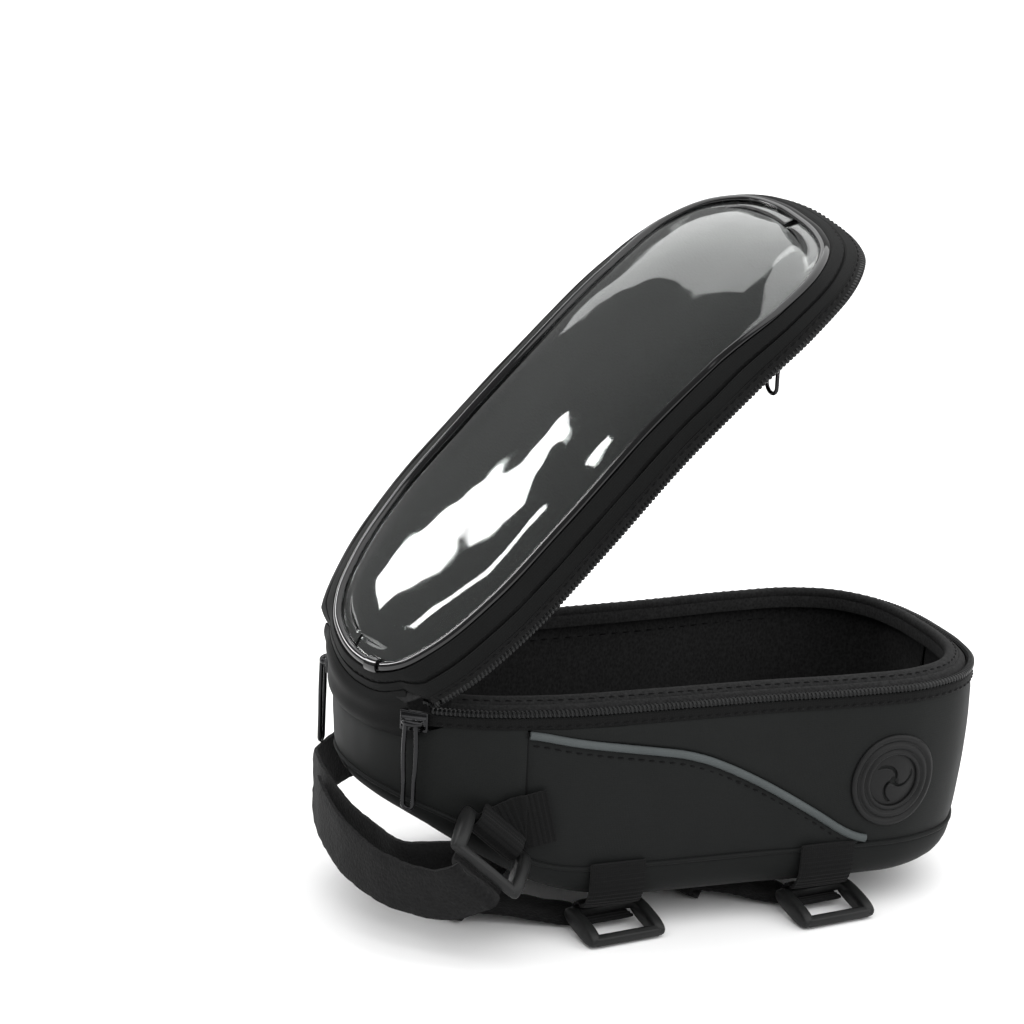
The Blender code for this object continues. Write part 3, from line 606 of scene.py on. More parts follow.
def moulded(name, colour, rough, size=0.5, deep=0.02, mottle=0.12, metallic=0.0, coat=0.0):
    """Plastic, rubber or plated metal: fine surface grain and handled patches."""
    mat, tree, shader = base_material(name, colour, rough, metallic)
    where = in_object(tree)
    fine = speckle(tree, where, size * MM, 4.0)
    slow = speckle(tree, where, 9 * MM, 2.0)
    tint(tree, shader, slow, colour, mottle)
    roughen(tree, shader, slow, rough, 0.06)
    bump(tree, shader, fine, deep)
    shader.inputs["Coat Weight"].default_value = coat
    shader.inputs["Coat Roughness"].default_value = 0.05
    shader.inputs["Specular IOR Level"].default_value = 0.22
    return mat


def clear_film():
    """Clear soft sheet: smooth, with a faint haze and slow waves."""
    mat, tree, shader = base_material("clear_film", (0.90, 0.94, 0.92), 0.03)
    shader.inputs["Transmission Weight"].default_value = 1.0
    shader.inputs["IOR"].default_value = 1.52
    where = in_object(tree)
    bump(tree, shader, speckle(tree, where, 16 * MM, 1.0), 0.5, 0.35)
    roughen(tree, shader, speckle(tree, where, 30 * MM, 3.0), 0.035, 0.02)
    return mat


SHELL = cloth("shell_fabric", (0.0072, 0.0079, 0.0078), 0.62, 0.5, 0.03, 0.16, 0.03)
SIDE = cloth("side_cloth", (0.0072, 0.0079, 0.0077), 0.60, 0.5, 0.035, 0.18, 0.03)
BASE_LOOK = cloth("base_cloth", (0.0058, 0.0064, 0.0063), 0.64, 0.5, 0.035, 0.18, 0.03)
LID_LOOK = cloth("lid_cloth", (0.0040, 0.0042, 0.0042), 0.66, 0.7, 0.06, 0.25, 0.02)
LINING = plush("lining_cloth", (0.0140, 0.0140, 0.0142), 0.5, 0.12, 0.03)
FOAM = plush("foam", (0.09, 0.09, 0.09), 0.8, 0.10, 0.0)
BOARD = moulded("board", (0.05, 0.05, 0.05), 0.70)
REFLECTIVE = cloth("reflective_tape", (0.0660, 0.0740, 0.0750), 0.40, 0.42, 0.03, 0.20, 0.0)
RUBBER = moulded("port_rubber", (0.0040, 0.0041, 0.0042), 0.50, 0.4, 0.02)
ZIP_TAPE = cloth("zip_tape", (0.0040, 0.0041, 0.0041), 0.78, 0.8, 0.09, 0.30, 0.04)
ZIP_COIL = moulded("zip_coil", (0.0060, 0.0062, 0.0064), 0.32, 0.3, 0.01, 0.20)
METAL = moulded("zip_metal", (0.0130, 0.0130, 0.0140), 0.26, 0.6, 0.008, 0.20, 1.0, 0.3)
BEAD = moulded("gloss_bead", (0.0030, 0.0030, 0.0033), 0.09, 2.0, 0.01, 0.15, 0.0, 0.5)
FILM = clear_film()
WEBBING = cloth("webbing", (0.0040, 0.0041, 0.0042), 0.80, 0.75, 0.12, 0.30, 0.05)
FUZZY = plush("hook_and_loop", (0.0052, 0.0052, 0.0054), 0.55, 0.30, 0.06)
BUCKLE = moulded("buckle_plastic", (0.0085, 0.0088, 0.0088), 0.46, 0.45, 0.02, 0.12)
THREAD = cloth("thread", (0.0025, 0.0025, 0.0027), 0.70, 0.3, 0.03, 0.2, 0.03)


# ---------------------------------------------------------------- walls, base and lining


def on_bag(obj, slot, *nodes):
    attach(obj, "bag")
    if nodes:
        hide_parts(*nodes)
    return obj


def piping_height(s):
    return height(PIPING, s)


def side_low(s):
    """Lower edge of the side panel: above the piping, and down to the seam past it."""
    x = outline(s)[0][:, 0]
    ease = np.clip((x - SWOOSH_END + 1) / 6, 0, 1)
    low = height(SEAM, s) + 0.3
    return np.where(x > SWOOSH_END + 5, low, (piping_height(s) + 1.3) * (1 - ease) + low * ease)


def build_walls():
    far, near = arc_at(SEAM_X, 1), arc_at(SEAM_X, -1)
    s = arcs(far + 0.15, near - 0.15, 1.6)
    top = SIDE_TOP - tip_drop(s, 3.6) + 0.2
    panel = strip("side_panel", s, side_low(s), top, SIDE, puff=0.55, cells=12, crease=0.22)
    on_bag(panel, "side_cloth", "side_panel")
    s = arcs(near - AROUND + 0.15, far - 0.15, 1.6)
    wrap = strip("hinge_wrap", s, height(SEAM, s) + 0.3, SIDE_TOP - tip_drop(s, 3.6) + 0.2, SIDE,
                 puff=0.55, cells=14, crease=0.3, seed=4.0)
    on_bag(wrap, "side_cloth", "hinge_wrap")
    s = arcs(0, AROUND, 2.4, True)
    foam = strip("wall_padding", s, height(SEAM, s) + 1.0, SIDE_TOP - 1.5 - tip_drop(s, 3.6), FOAM,
                 outer=1.3, inner=3.0, cells=4, around=True)
    on_bag(foam, "foam", "wall_padding")
    for side, tag in ((-1, "near"), (1, "far")):
        ends = sorted((arc_at(SEAM_X, side) + side * 0.15, arc_at(SWOOSH_END, side)))
        s = arcs(*ends, 1.6)
        low = height(SEAM, s) + 0.3
        insert = strip("insert_panel_" + tag, s, low, np.maximum(piping_height(s) - 0.9, low + 0.5),
                       SHELL, puff=0.6, cells=12, crease=0.35, seed=9.0)
        on_bag(insert, "shell_fabric", "insert_panel_" + tag)
        ends = sorted((arc_at(SEAM_X + 0.5, side), arc_at(156.0, side)))
        s = arcs(*ends, 1.2)
        path = wall(s, piping_height(s), -0.35)
        cord = tube("piping_" + tag, path, 1.3, REFLECTIVE, 12, flat=0.8, side=(0, 0, 1))
        on_bag(cord, "reflective_tape", "piping_" + tag)
        s = s[(outline(s)[0][:, 0] < 148)]
        row = wall_stitches("piping_stitches_" + tag, s, piping_height(s) - 3.2, THREAD, -0.15)
        on_bag(row, "reflective_tape")
        seam = arc_at(SEAM_X, side)
        z = np.linspace(float(height(SEAM, seam)) + 1, SIDE_TOP - 1, 40)
        down = tube("corner_seam_" + tag, wall(seam, z, 0.75), 0.7, THREAD, 8)
        on_bag(down, "side_cloth")


def half_rows(count, end=0.6):
    """Arc lengths of one half, closer together at both tips of the outline."""
    share = (1 - np.cos(np.pi * np.linspace(0, 1, count))) / 2
    even = np.linspace(0, 1, count)
    return end + (AROUND / 2 - 2 * end) * (0.5 * share + 0.5 * even)


def across(name, rows, profile, look, middle=8, warp=as_it_is, dome=None, sharp=38.0):
    """Closed piece that reaches across the bag. profile(s) gives its outer and inner rows of
    (depth, z) from the far rim to the middle; the near side mirrors the far one."""
    points = []
    for s in rows:
        layers = []
        for layer in profile(s):
            far = np.array([wall(s, z, depth) for depth, z in layer])
            near = far[::-1] * (1, -1, 1)
            t = np.linspace(0, 1, middle + 2)[1:-1, None]
            layers.append(np.concatenate([far, far[-1] * (1 - t) + near[0] * t, near]))
        points.append(np.concatenate([layers[0], layers[1][::-1]]))
    points = np.array(points)
    if dome:
        points = dome(points)
    return lattice(name, warp(points), look, sharp=sharp)


def build_base():
    def profile(s):
        seam, low = float(height(SEAM, s)), float(height(BASE, s))
        drop = seam - low
        outer = [(0.25, seam), (-0.15, seam - 0.5), (-0.25, seam - 0.12 * drop),
                 (0.0, seam - 0.26 * drop), (0.5, seam - 0.42 * drop), (1.4, seam - 0.58 * drop),
                 (2.8, seam - 0.74 * drop), (4.8, seam - 0.88 * drop), (7.2, seam - 0.965 * drop),
                 (10.0, low)]
        inner = [(3.3, seam), (3.3, seam - 0.5), (3.3, seam - 0.12 * drop), (3.5, low + 6.5),
                 (3.9, low + 5.6), (4.6, low + 5.0), (5.6, low + 4.6), (7.0, low + 4.2),
                 (8.6, low + 3.9), (10.6, low + 3.8)]
        return outer, inner

    base = across("base_panel", half_rows(110), profile, BASE_LOOK, 10)
    on_bag(base, "base_cloth", "base_panel")
    s = arcs(0, AROUND, 1.6, True)
    welt = tube("base_welt", wall(s, height(SEAM, s) + 0.12, -0.05), 0.75, BASE_LOOK, 8, True)
    on_bag(welt, "base_cloth")


def build_lining():
    def profile(s):
        seam, low = float(height(SEAM, s)), float(height(BASE, s))
        top = RIM - 4.6 - float(tip_drop(s, 5.0))
        heights = np.linspace(top, seam + 1.0, 9)
        inner = [(4.45 + 0.35 * math.sin(math.pi * k / 8), z) for k, z in enumerate(heights)]
        inner += [(5.4, low + 8.6), (7.4, low + 7.3), (11.6, low + 6.7)]
        outer = [(3.7, z) for z in heights] + [(4.5, low + 7.6), (6.8, low + 6.6), (11.6, low + 5.9)]
        return inner, outer

    def crumple(points):
        half = points.shape[1] // 2
        inner = ripple(points[:, :half], 15.0, 0.35, 2.0)
        points[:, 1:half - 1] = inner[:, 1:half - 1]
        return points

    lining = across("lining", half_rows(90), profile, LINING, 10, dome=crumple)
    on_bag(lining, "lining_cloth", "lining")
    for tag, start, end in (("far", 40, 168), ("near", 60, 168)):
        side = 1 if tag == "far" else -1
        s = arcs(*sorted((arc_at(start, side), arc_at(end, side))), 3.0)
        path = wall(s, RIM - 9.5, 4.55)
        lifted = wall(s, RIM - 9.5, 6.0)
        on_bag(stitches("lining_stitches_" + tag, path, lifted - path, THREAD, 4.2, 2.6, 0.3),
               "lining_cloth")


def build_rim():
    s = arcs(ZIP_FAR + 2.0, AROUND - ZIP_NEAR - 2.0, 1.8)
    tape = strip("body_zip_tape", s, SIDE_TOP + 0.1, RIM - 2.3, ZIP_TAPE, outer=-0.15, inner=1.0,
                 puff=0.25, cells=6)
    on_bag(tape, "zip_tape", "body_zip_tape")
    teeth = coil("body_zip_coil", s, RIM - COIL_RISE, 0.5, COIL, ZIP_COIL)
    on_bag(teeth, "zip_coil", "body_zip_coil")
    row = wall_stitches("body_tape_stitches", s, SIDE_TOP + 1.0, THREAD, -0.3, pitch=3.0)
    on_bag(row, "zip_tape")
    section = [(1.95, -4.4), (1.9, -2.2), (2.2, -1.0), (3.0, -0.1), (3.9, 0.55), (4.25, 0.4),
               (4.6, 0.9), (5.4, 1.5), (6.4, 2.0), (7.3, 2.2), (8.1, 2.0), (8.55, 1.3),
               (8.65, 0.0), (8.4, -0.35), (8.7, -0.7), (8.6, -4.4)]
    s = arcs(ZIP_FAR + 7, AROUND - ZIP_NEAR - 9, 2.0)
    collar = profile_sweep("rim_binding", s, lambda v: [(d, RIM + z) for d, z in section], LINING,
                           sharp=70.0)
    on_bag(collar, "lining_cloth", "rim_binding")
    path, lifted = wall(s, RIM + 1.42, 5.2), wall(s, RIM + 3.0, 4.6)
    on_bag(stitches("rim_stitches", path, lifted - path, THREAD, 3.2, 2.2, 0.28), "lining_cloth")


# ---------------------------------------------------------------- the lid

# Two points on the opened lid: WHOLE_TURN at x 100 on the rim, and NO_TURN far past the wide end,
# both turned on the hinge.
WHOLE_TURN = open_lid((100.0, 0.0, RIM))
NO_TURN = HINGE + TURN @ (np.array((516.0, 187.0, RIM)) - HINGE)


def on_lid(obj, slot, *nodes):
    """A soft layer of the lid: it is baked where it lies, and the CAD parts named are hidden."""
    place(NO_TURN)
    place(WHOLE_TURN)
    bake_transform(obj)
    if nodes:
        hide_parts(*nodes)
    return obj


def bead_in(s):
    """How far the bead lies inside the outline."""
    x = outline(s)[0][..., 0]
    return 12.4 - 6.8 * np.clip((x - 150) / 55, 0, 1)


def slope(s, share):
    """Depth and height on the lid's sloped side, from the zip tape (0) to the bead (1)."""
    rise = 4.6 + 5.4 * share**0.8 + tip_drop(s, 1.2) * (1 - share)
    return tip_drop(s, TIP_TUCK) * (1 - share) + share * (bead_in(s) - 1.9), RIM + rise


def slope_strip(name, low, high, look, puff, thick=0.9, cells=8, seed=0.0):
    """Padded strip round the lid, between two shares of its sloped side."""
    s = arcs(0, AROUND, 1.7, True)[:, None]
    t = np.linspace(0, 1, cells + 1)[None, :]
    depth, z = slope(s, low + (high - low) * t)
    run, rise = bead_in(s) - 1.9, 5.4
    reach = np.hypot(run, rise)
    pillow = puff * (np.minimum(1, 3 * np.sqrt(t * (1 - t))) - 0.5)
    front = wall(s, z + pillow * run / reach, depth - pillow * rise / reach)
    front = ripple(front, 14.0, 0.22, seed)
    back = wall(s, (z - thick)[:, ::-1], (depth + 0.3)[:, ::-1])
    return lattice(name, open_lid(np.concatenate([front, back], 1)), look, True)


def film_dome(lift):
    """Raises a flat piece into a shallow dome, measured from its own edges."""
    def shape(points):
        half = points.shape[1] // 2
        wide = np.abs(points[:, 0, 1])[:, None]
        side = np.clip(1 - (points[..., 1] / np.maximum(wide, 0.1)) ** 2, 0, 1)
        along = np.minimum(points[..., 0] - points[..., 0].min(),
                           points[..., 0].max() - points[..., 0])
        ends = np.clip(along / 30, 0, 1)
        points[..., 2] += lift * side**0.7 * np.sqrt(ends * (2 - ends))
        moved = ripple(points[:, :half], 31.0, 0.9, 7.0)
        sway = (moved - points[:, :half])[..., 2] * np.clip(side[:, :half] * 2, 0, 1)
        points[:, :half, 2] += sway
        points[:, half:, 2] += sway[:, ::-1]
        return points
    return shape


def build_lid():
    band_piece = slope_strip("lid_band", 0.0, 0.42, LID_LOOK, 0.7, seed=1.0)
    on_lid(band_piece, "lid_cloth", "lid_band")
    border = slope_strip("lid_border", 0.44, 1.02, LID_LOOK, 0.8, seed=2.0)
    on_lid(border, "lid_cloth", "lid_border")
    s = arcs(2, AROUND - 2, 2.0)
    depth, z = slope(s, 0.50)
    path, lifted = open_lid(wall(s, z + 0.12, depth)), open_lid(wall(s, z + 1.2, depth - 0.6))
    on_lid(stitches("lid_stitches", path, lifted - path, THREAD, 3.2, 2.2, 0.3), "lid_cloth")
    s = arcs(0, AROUND, 1.5, True)
    cos, sin = circle(14)
    section = lambda v: [(float(bead_in(v)) + 1.65 * c, RIM + BEAD_RISE + 1.55 * k)
                         for c, k in zip(cos, sin)]
    bead = profile_sweep("window_bead", s, section, BEAD, open_lid, True, 80.0)
    on_lid(bead, "gloss_bead", "window_bead")
    turns = np.radians(np.linspace(15, 165, 9))

    def cap(v):
        middle, z = float(bead_in(v)), RIM + BEAD_RISE
        return ([(middle + 2.5 * math.cos(t), z + 2.4 * math.sin(t)) for t in turns]
                + [(middle + 1.9 * math.cos(t), z + 1.8 * math.sin(t)) for t in turns[::-1]])

    splice = profile_sweep("bead_splice", arcs(AROUND - 22, AROUND - 14, 1.0), cap, BEAD, open_lid,
                           sharp=60.0)
    on_lid(splice, "gloss_bead", "bead_splice")

    def film_profile(s):
        rim = float(bead_in(s)) + 1.1
        return ([(rim + k, RIM + 9.8) for k in (0, 1.2, 2.6, 4.4)],
                [(rim + k, RIM + 9.45) for k in (0, 1.2, 2.6, 4.4)])

    film = across("window_film", half_rows(96, 1.2), film_profile, FILM, 26, open_lid,
                  film_dome(4.0), 70.0)
    on_lid(film, "clear_film", "window_film")

    def back_profile(s):
        depth, rise = 2.2 + float(tip_drop(s, TIP_TUCK)), float(tip_drop(s, 1.0))
        return ([(depth + k, RIM + 5.6 + rise) for k in (0, 2, 5)],
                [(depth + k, RIM + 4.8 + rise) for k in (0, 2, 5)])

    def soft(points):
        moved = ripple(points, 26.0, 0.5, 11.0)
        points[:, 2:-2] = moved[:, 2:-2]
        return points

    back = across("pocket_back", half_rows(80, 1.0), back_profile, LINING, 20, open_lid, soft)
    on_lid(back, "lining_cloth", "pocket_back")
    s = arcs(ZIP_FAR + 9.0, AROUND - ZIP_NEAR - 9.0, 1.8)
    tape = strip("lid_zip_tape", s, RIM + 2.3, RIM + 5.2, ZIP_TAPE, open_lid, outer=-0.1,
                 inner=1.0, puff=0.25, cells=6)
    on_lid(tape, "zip_tape", "lid_zip_tape")
    teeth = coil("lid_zip_coil", s, RIM + COIL_RISE, 0.5, COIL, ZIP_COIL, open_lid, -1.0)
    on_lid(teeth, "zip_coil", "lid_zip_coil")
    row = wall_stitches("lid_tape_stitches", s, RIM + 4.3, THREAD, -0.3, open_lid, 3.0)
    on_lid(row, "zip_tape")
    s = arcs(arc_at(178, -1), arc_at(58, -1), 1.8)
    tape = profile_sweep("pocket_zip_tape", s, lambda v: [
        (12.0, RIM + 4.1), (14.4, RIM + 4.0), (17.6, RIM + 4.0), (20.0, RIM + 4.1),
        (20.0, RIM + 4.6), (12.0, RIM + 4.6)], ZIP_TAPE, open_lid)
    on_lid(tape, "zip_tape", "pocket_zip_tape")
    teeth = coil("pocket_zip_coil", s, RIM + 3.1, 16.0, 0.95, ZIP_COIL, open_lid)
    on_lid(teeth, "zip_coil", "pocket_zip_coil")


def build_zip_tails():
    """Where the two halves of the zip run together into each slider."""
    for tag, start, end in (("near", AROUND - ZIP_NEAR - 1.0, AROUND - ZIP_NEAR - 9.5),
                            ("far", ZIP_FAR + 1.0, ZIP_FAR + 9.5)):
        low, high = sorted((start, end))

        def follow(points, s, start=start, end=end):
            q = np.clip((s - start) / (end - start), 0, 1)
            w = (q * q * (3 - 2 * q))[..., None]
            return points * (1 - w) + open_lid(points) * w

        s = np.arange(low, high, TOOTH / 4)
        cos, sin = circle(8, math.radians(22.5))
        size = np.where(np.arange(len(s)) % 4 < 2, 1.0, 0.74)[:, None] * COIL
        closed = wall(s[:, None], RIM + COIL_RISE + size * sin, 0.5 + size * 1.1 * cos)
        teeth = lattice("zip_tail_coil_" + tag, follow(closed, s[:, None]), ZIP_COIL, sharp=30.0)
        s = arcs(low, high, 0.8)
        shape = [(-0.1, 2.3), (-0.2, 3.6), (-0.1, 5.2), (1.0, 5.2), (1.0, 2.3)]
        depth, z = (np.array([row[k] for row in shape]) for k in (0, 1))
        closed = wall(s[:, None], RIM + z, depth)
        tape = lattice("zip_tail_tape_" + tag, follow(closed, s[:, None]), ZIP_TAPE)
        for piece, slot in ((teeth, "zip_coil"), (tape, "zip_tape")):
            line = [follow(wall(v, RIM + 2.0, 0.4), np.array(v)) for v in (start, end)]
            place(line[0])
            place(line[1])
            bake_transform(piece)


def build_hinge_cloth():
    s = arcs(-ZIP_NEAR + 1.0, ZIP_FAR - 1.0, 1.4)
    low = wall(s, SIDE_TOP - 0.9 - tip_drop(s, 3.6), -0.15)
    high = open_lid(wall(s, RIM + 4.9 + tip_drop(s, 1.2), tip_drop(s, TIP_TUCK) - 0.2))
    axes = outline(s)[1]
    out = np.stack([-axes[:, 0], -axes[:, 1], np.zeros(len(s))], 1)
    t = np.linspace(0, 1, 13)[None, :, None]
    sag = np.sin(math.pi * t) * 1.6 + 0.5 * np.sin(3 * math.pi * t)
    front = low[:, None] * (1 - t) + high[:, None] * t + out[:, None] * (sag + 0.2)
    front = ripple(front, 11.0, 0.18, 6.0)
    back = front[:, ::-1] - out[:, None] * 1.0
    cloth_piece = lattice("hinge_strip", np.concatenate([front, back], 1), LID_LOOK)
    place((0.5, 0, RIM - 9.0))
    place((-4.0, 0, RIM - 1.5))
    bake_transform(cloth_piece)
    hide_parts("hinge_strip")


# ---------------------------------------------------------------- ports, sliders, buckles


def port_point(s, radius, turn, lift):
    return wall(s + radius * np.cos(turn), PORT_Z + radius * np.sin(turn), -lift)


def build_ports():
    """Concentric rubber ring and the soft disc with three curved slits."""
    section = ((8.4, -3.0), (9.2, -3.0), (9.3, 0.0), (14.3, 0.0), (14.9, 0.35), (14.9, 0.9),
               (14.4, 1.35), (13.7, 1.45), (13.1, 1.2), (12.8, 0.75), (12.3, 0.75), (12.0, 1.2),
               (11.5, 1.5), (10.9, 1.5), (10.5, 1.1), (10.2, 0.7), (9.8, 0.7), (9.5, 1.1),
               (9.0, 1.3), (8.5, 1.1), (8.3, 0.6))
    radius, lift = (np.array([row[k] for row in section]) for k in (0, 1))
    turn = np.linspace(0, 2 * math.pi, 72, endpoint=False)[:, None]
    swirl = np.linspace(0, 2 * math.pi, 168, endpoint=False)[:, None]
    reach = np.linspace(0.05, 8.15, 46)[None, :]
    for side, tag in ((-1, "near"), (1, "far")):
        s = arc_at(PORT_X, side)
        ring = lattice("port_ring_" + tag, port_point(s, radius[None], turn, lift[None]), RUBBER,
                       True, sharp=60.0)
        on_bag(ring, "port_rubber", "port_ring_" + tag)
        rise = 0.35 + 0.75 * (1 - (reach / 8.15) ** 2) + 0 * swirl
        for blade in range(3):
            bend = math.radians(120) * blade + 1.35 * (reach - 1.2) / 5.4 * side
            gap = np.abs((swirl - bend + math.pi) % (2 * math.pi) - math.pi) * reach
            ends = np.clip((7.1 - reach) / 0.5, 0, 1) * np.clip(reach / 0.8, 0, 1)
            rise = rise - 1.3 * np.exp(-((gap / (0.34 + 0.05 * reach)) ** 4)) * ends
        rise = rise - 1.0 * np.exp(-((reach / 1.3) ** 4))
        top = port_point(s, reach, swirl, rise)
        bottom = port_point(s, reach[:, ::-1], swirl, np.full_like(rise, -1.4))
        disc = lattice("port_disc_" + tag, np.concatenate([top, bottom], 1), RUBBER, True,
                       sharp=60.0)
        on_bag(disc, "port_rubber", "port_disc_" + tag)


def slider(name, centre, axes, length, wide, body):
    """Zip slider: two plates round the coil, a bridge, and the body they share."""
    centre = Vector(centre)
    along, out, up = (Vector(a) for a in axes)
    plate = rounded(name, centre - out * 0.1, (along, up, out), (length, wide, 1.3), 0.5, METAL)
    waist = rounded("waist", centre - out * 0.9, (along, up, out), (length * 0.62, wide * 0.7, 1.0),
                    0.3, METAL)
    ridge = rounded("ridge", centre + out * 0.55, (along, up, out), (length * 0.9, wide * 0.34, 0.7),
                    0.25, METAL)
    arch = []
    for turn in np.linspace(0, math.pi, 13):
        arch.append(centre + along * (math.cos(turn) * length * 0.34)
                    + out * (0.4 + 2.7 * math.sin(turn) ** 0.6))
    bridge = tube("bridge", np.array(arch), 0.62, METAL, 10, flat=1.5, side=tuple(out))
    whole = joined(name, [plate, waist, ridge, bridge])
    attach(whole, body)
    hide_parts(name)


def pull(name, pivot, across_way, down, width, length, wire, body):
    """Wire loop: it necks in under the bridge and swells at its lower end."""
    pivot, across_way, down = Vector(pivot), Vector(across_way), Vector(down)
    half = width / 2
    path = []
    for way in (1, -1):
        for share in np.linspace(0, 1, 15)[::way]:
            wide = half * (0.82 + 0.18 * math.sin(math.pi * min(share * 1.4, 1)))
            path.append(pivot + across_way * way * wide + down * (0.4 + share * (length - 0.4)))
        turns = np.linspace(0, math.pi, 9)[1:-1]
        for turn in turns:
            if way > 0:
                path.append(pivot + across_way * half * 0.86 * math.cos(turn)
                            + down * (length + half * 0.9 * math.sin(turn)))
            else:
                path.append(pivot - across_way * half * 0.82 * math.cos(turn)
                            + down * (0.4 - half * 0.35 * math.sin(turn)))
    loop = tube(name, np.array(path), wire, METAL, 12, True)
    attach(loop, body)
    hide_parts(body)


def build_sliders():
    for tag, spot in (("near", AROUND - ZIP_NEAR + 1), ("far", ZIP_FAR - 1)):
        axes = side_axes(spot)
        centre = Vector(wall(spot, RIM - 4.2, 0.0)) + axes[1] * 2.4
        slider("slider_" + tag, centre, axes, 9.0, 6.4, "slider_" + tag)
        pivot = centre + axes[1] * 2.6
        pull("pull_" + tag, pivot, axes[0], (0, 0, -1), 4.0, 25.0, 0.75, "pull_" + tag)
    spot = arc_at(168, -1)
    foot = wall(spot, RIM + 0.9, 16.0)
    along = side_axes(spot)[0]
    turn = Matrix(TURN.tolist())
    axes = (turn @ along, turn @ Vector((0, 0, -1)), turn @ along.cross(Vector((0, 0, 1))))
    centre = Vector(HINGE) + turn @ (Vector(foot) - Vector(HINGE))
    slider("pocket_slider", centre, axes, 8.0, 5.6, "pocket_slider")
    pivot = centre + axes[1] * 2.35
    pull("pocket_pull", pivot, axes[2], (0, 0, -1), 6.4, 14.0, 0.65, "pocket_pull")


BUCKLE_LONG = 26.0
BUCKLE_DEEP = 18.4
BAR_REACH = 7.7
CHEEK = 3.4


def buckle(name, centre, long_way, out):
    """Rectangular loop: two rounded cheeks and the bars that join them."""
    centre = Vector(centre)
    up = long_way.cross(out)
    pieces = []
    for way in (-1, 1):
        place_at = centre + long_way * (way * (BUCKLE_LONG - CHEEK) / 2)
        rows = []
        for reach, size in ((-0.5, 0.78), (-0.38, 0.93), (-0.2, 1.0), (0.2, 1.0), (0.38, 0.93),
                            (0.5, 0.78)):
            cos, sin = circle(28)
            deep = np.sign(cos) * np.abs(cos) ** 0.8 * BUCKLE_DEEP / 2 * (0.97 + 0.03 * size)
            high = np.sign(sin) * np.abs(sin) ** 0.8 * 3.0 * size
            inset = 1 - (1 - size) * 0.25
            rows.append([place_at + long_way * reach * CHEEK + out * a * inset + up * b
                         for a, b in zip(deep, high)])
        pieces.append(lattice("cheek", np.array(rows), BUCKLE, sharp=60.0))
    for way, high in ((-1, 2.8), (1, 3.0)):
        bar = centre + out * (way * BAR_REACH)
        pieces.append(rounded("bar", bar, (long_way, out, up), (BUCKLE_LONG - CHEEK, 3.0, high), 0.7,
                              BUCKLE))
    whole = joined(name, pieces)
    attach(whole, name)
    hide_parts(name)


def round_bar(bar, out, up, radius, degrees, long_way):
    """Rows of a strap that wraps round a bar."""
    rows = []
    for turn in degrees:
        angle = math.radians(turn)
        rows.append((*(bar + (out * math.cos(angle) + up * math.sin(angle)) * radius), *long_way))
    return rows


def build_straps():
    for tag, x, front in (("middle", 74.6, -54.2), ("wide", 144.0, -58.4)):
        long_way = Vector((0.992, 0.125, 0.0))
        out = Vector((0.122, -0.965, -0.232)).normalized()
        up = out.cross(long_way)
        centre = Vector((x, front, 2.3)) - out * BAR_REACH
        buckle("buckle_" + tag, centre, long_way.normalized(), out)
        inner = centre - out * BAR_REACH
        s = arc_at(inner.x, -1)
        rows = [(*wall(s, z, depth), 1, 0, 0) for z, depth in (
            (24.5, -1.15), (19.0, -1.2), (14.2, -0.3), (10.0, 2.6))]
        rows += round_bar(inner, out, up, 2.95, (70, 110, 180, 250, 300), long_way)
        rows.append((*(inner + out * 4.2 - up * 1.9), *long_way))
        tab = band("tab_" + tag, rows, 18.0, 1.2, WEBBING, rib=0.13)
        on_bag(tab, "webbing", "tab_" + tag)
    flat_strap("strap_middle", 76.0, (28.5, -17.0), (68.0, -33.0))
    flat_strap("strap_wide", 147.0, (106.0, -20.0), (138.5, -35.0))
    hinge_end_straps()


def flat_strap(name, x, fold, tip):
    """Strap from the far side that lies under the base, folds over and ends at its tip."""
    s = arc_at(x, 1)
    fold, tip = Vector((*fold, 0)), Vector((*tip, 0))
    start = Vector((x - 6.0, 34.0, 0))
    away = (fold - start).normalized()
    back = (tip - fold).normalized()
    line = (away + back).normalized()
    first = Vector((-away.y, away.x, 0))
    second = Vector((-back.y, back.x, 0))
    first = first if first.dot(line) > 0 else -first
    second = second if second.dot(line) > 0 else -second
    lifted = lambda spot, z, way: (*(spot + Vector((0, 0, z))), *way)
    rows = [(*wall(s, z, depth), 1, 0, 0) for z, depth in (
        (23.5, -1.15), (18.8, -1.15), (13.0, 0.6), (7.6, 3.6), (3.2, 8.0))]
    rows += [lifted(start + (fold - start) * share, 1.3, first) for share in (0.0, 0.3, 0.62, 0.85)]
    rows += [lifted(fold + away * 1.4, 1.8, first + line), lifted(fold + away * 3.2, 3.2, line),
             lifted(fold + away * 1.4 + back, 4.4, second + line)]
    rows += [lifted(fold + (tip - fold) * share, z, second)
             for share, z in ((0.25, 4.4), (0.5, 3.8), (0.75, 2.2), (1.0, 1.3))]
    strap = band(name, rows, 17.0, 1.6, FUZZY, fuzz=0.22, per_span=10, round_tip=5)
    on_bag(strap, "hook_and_loop", name)


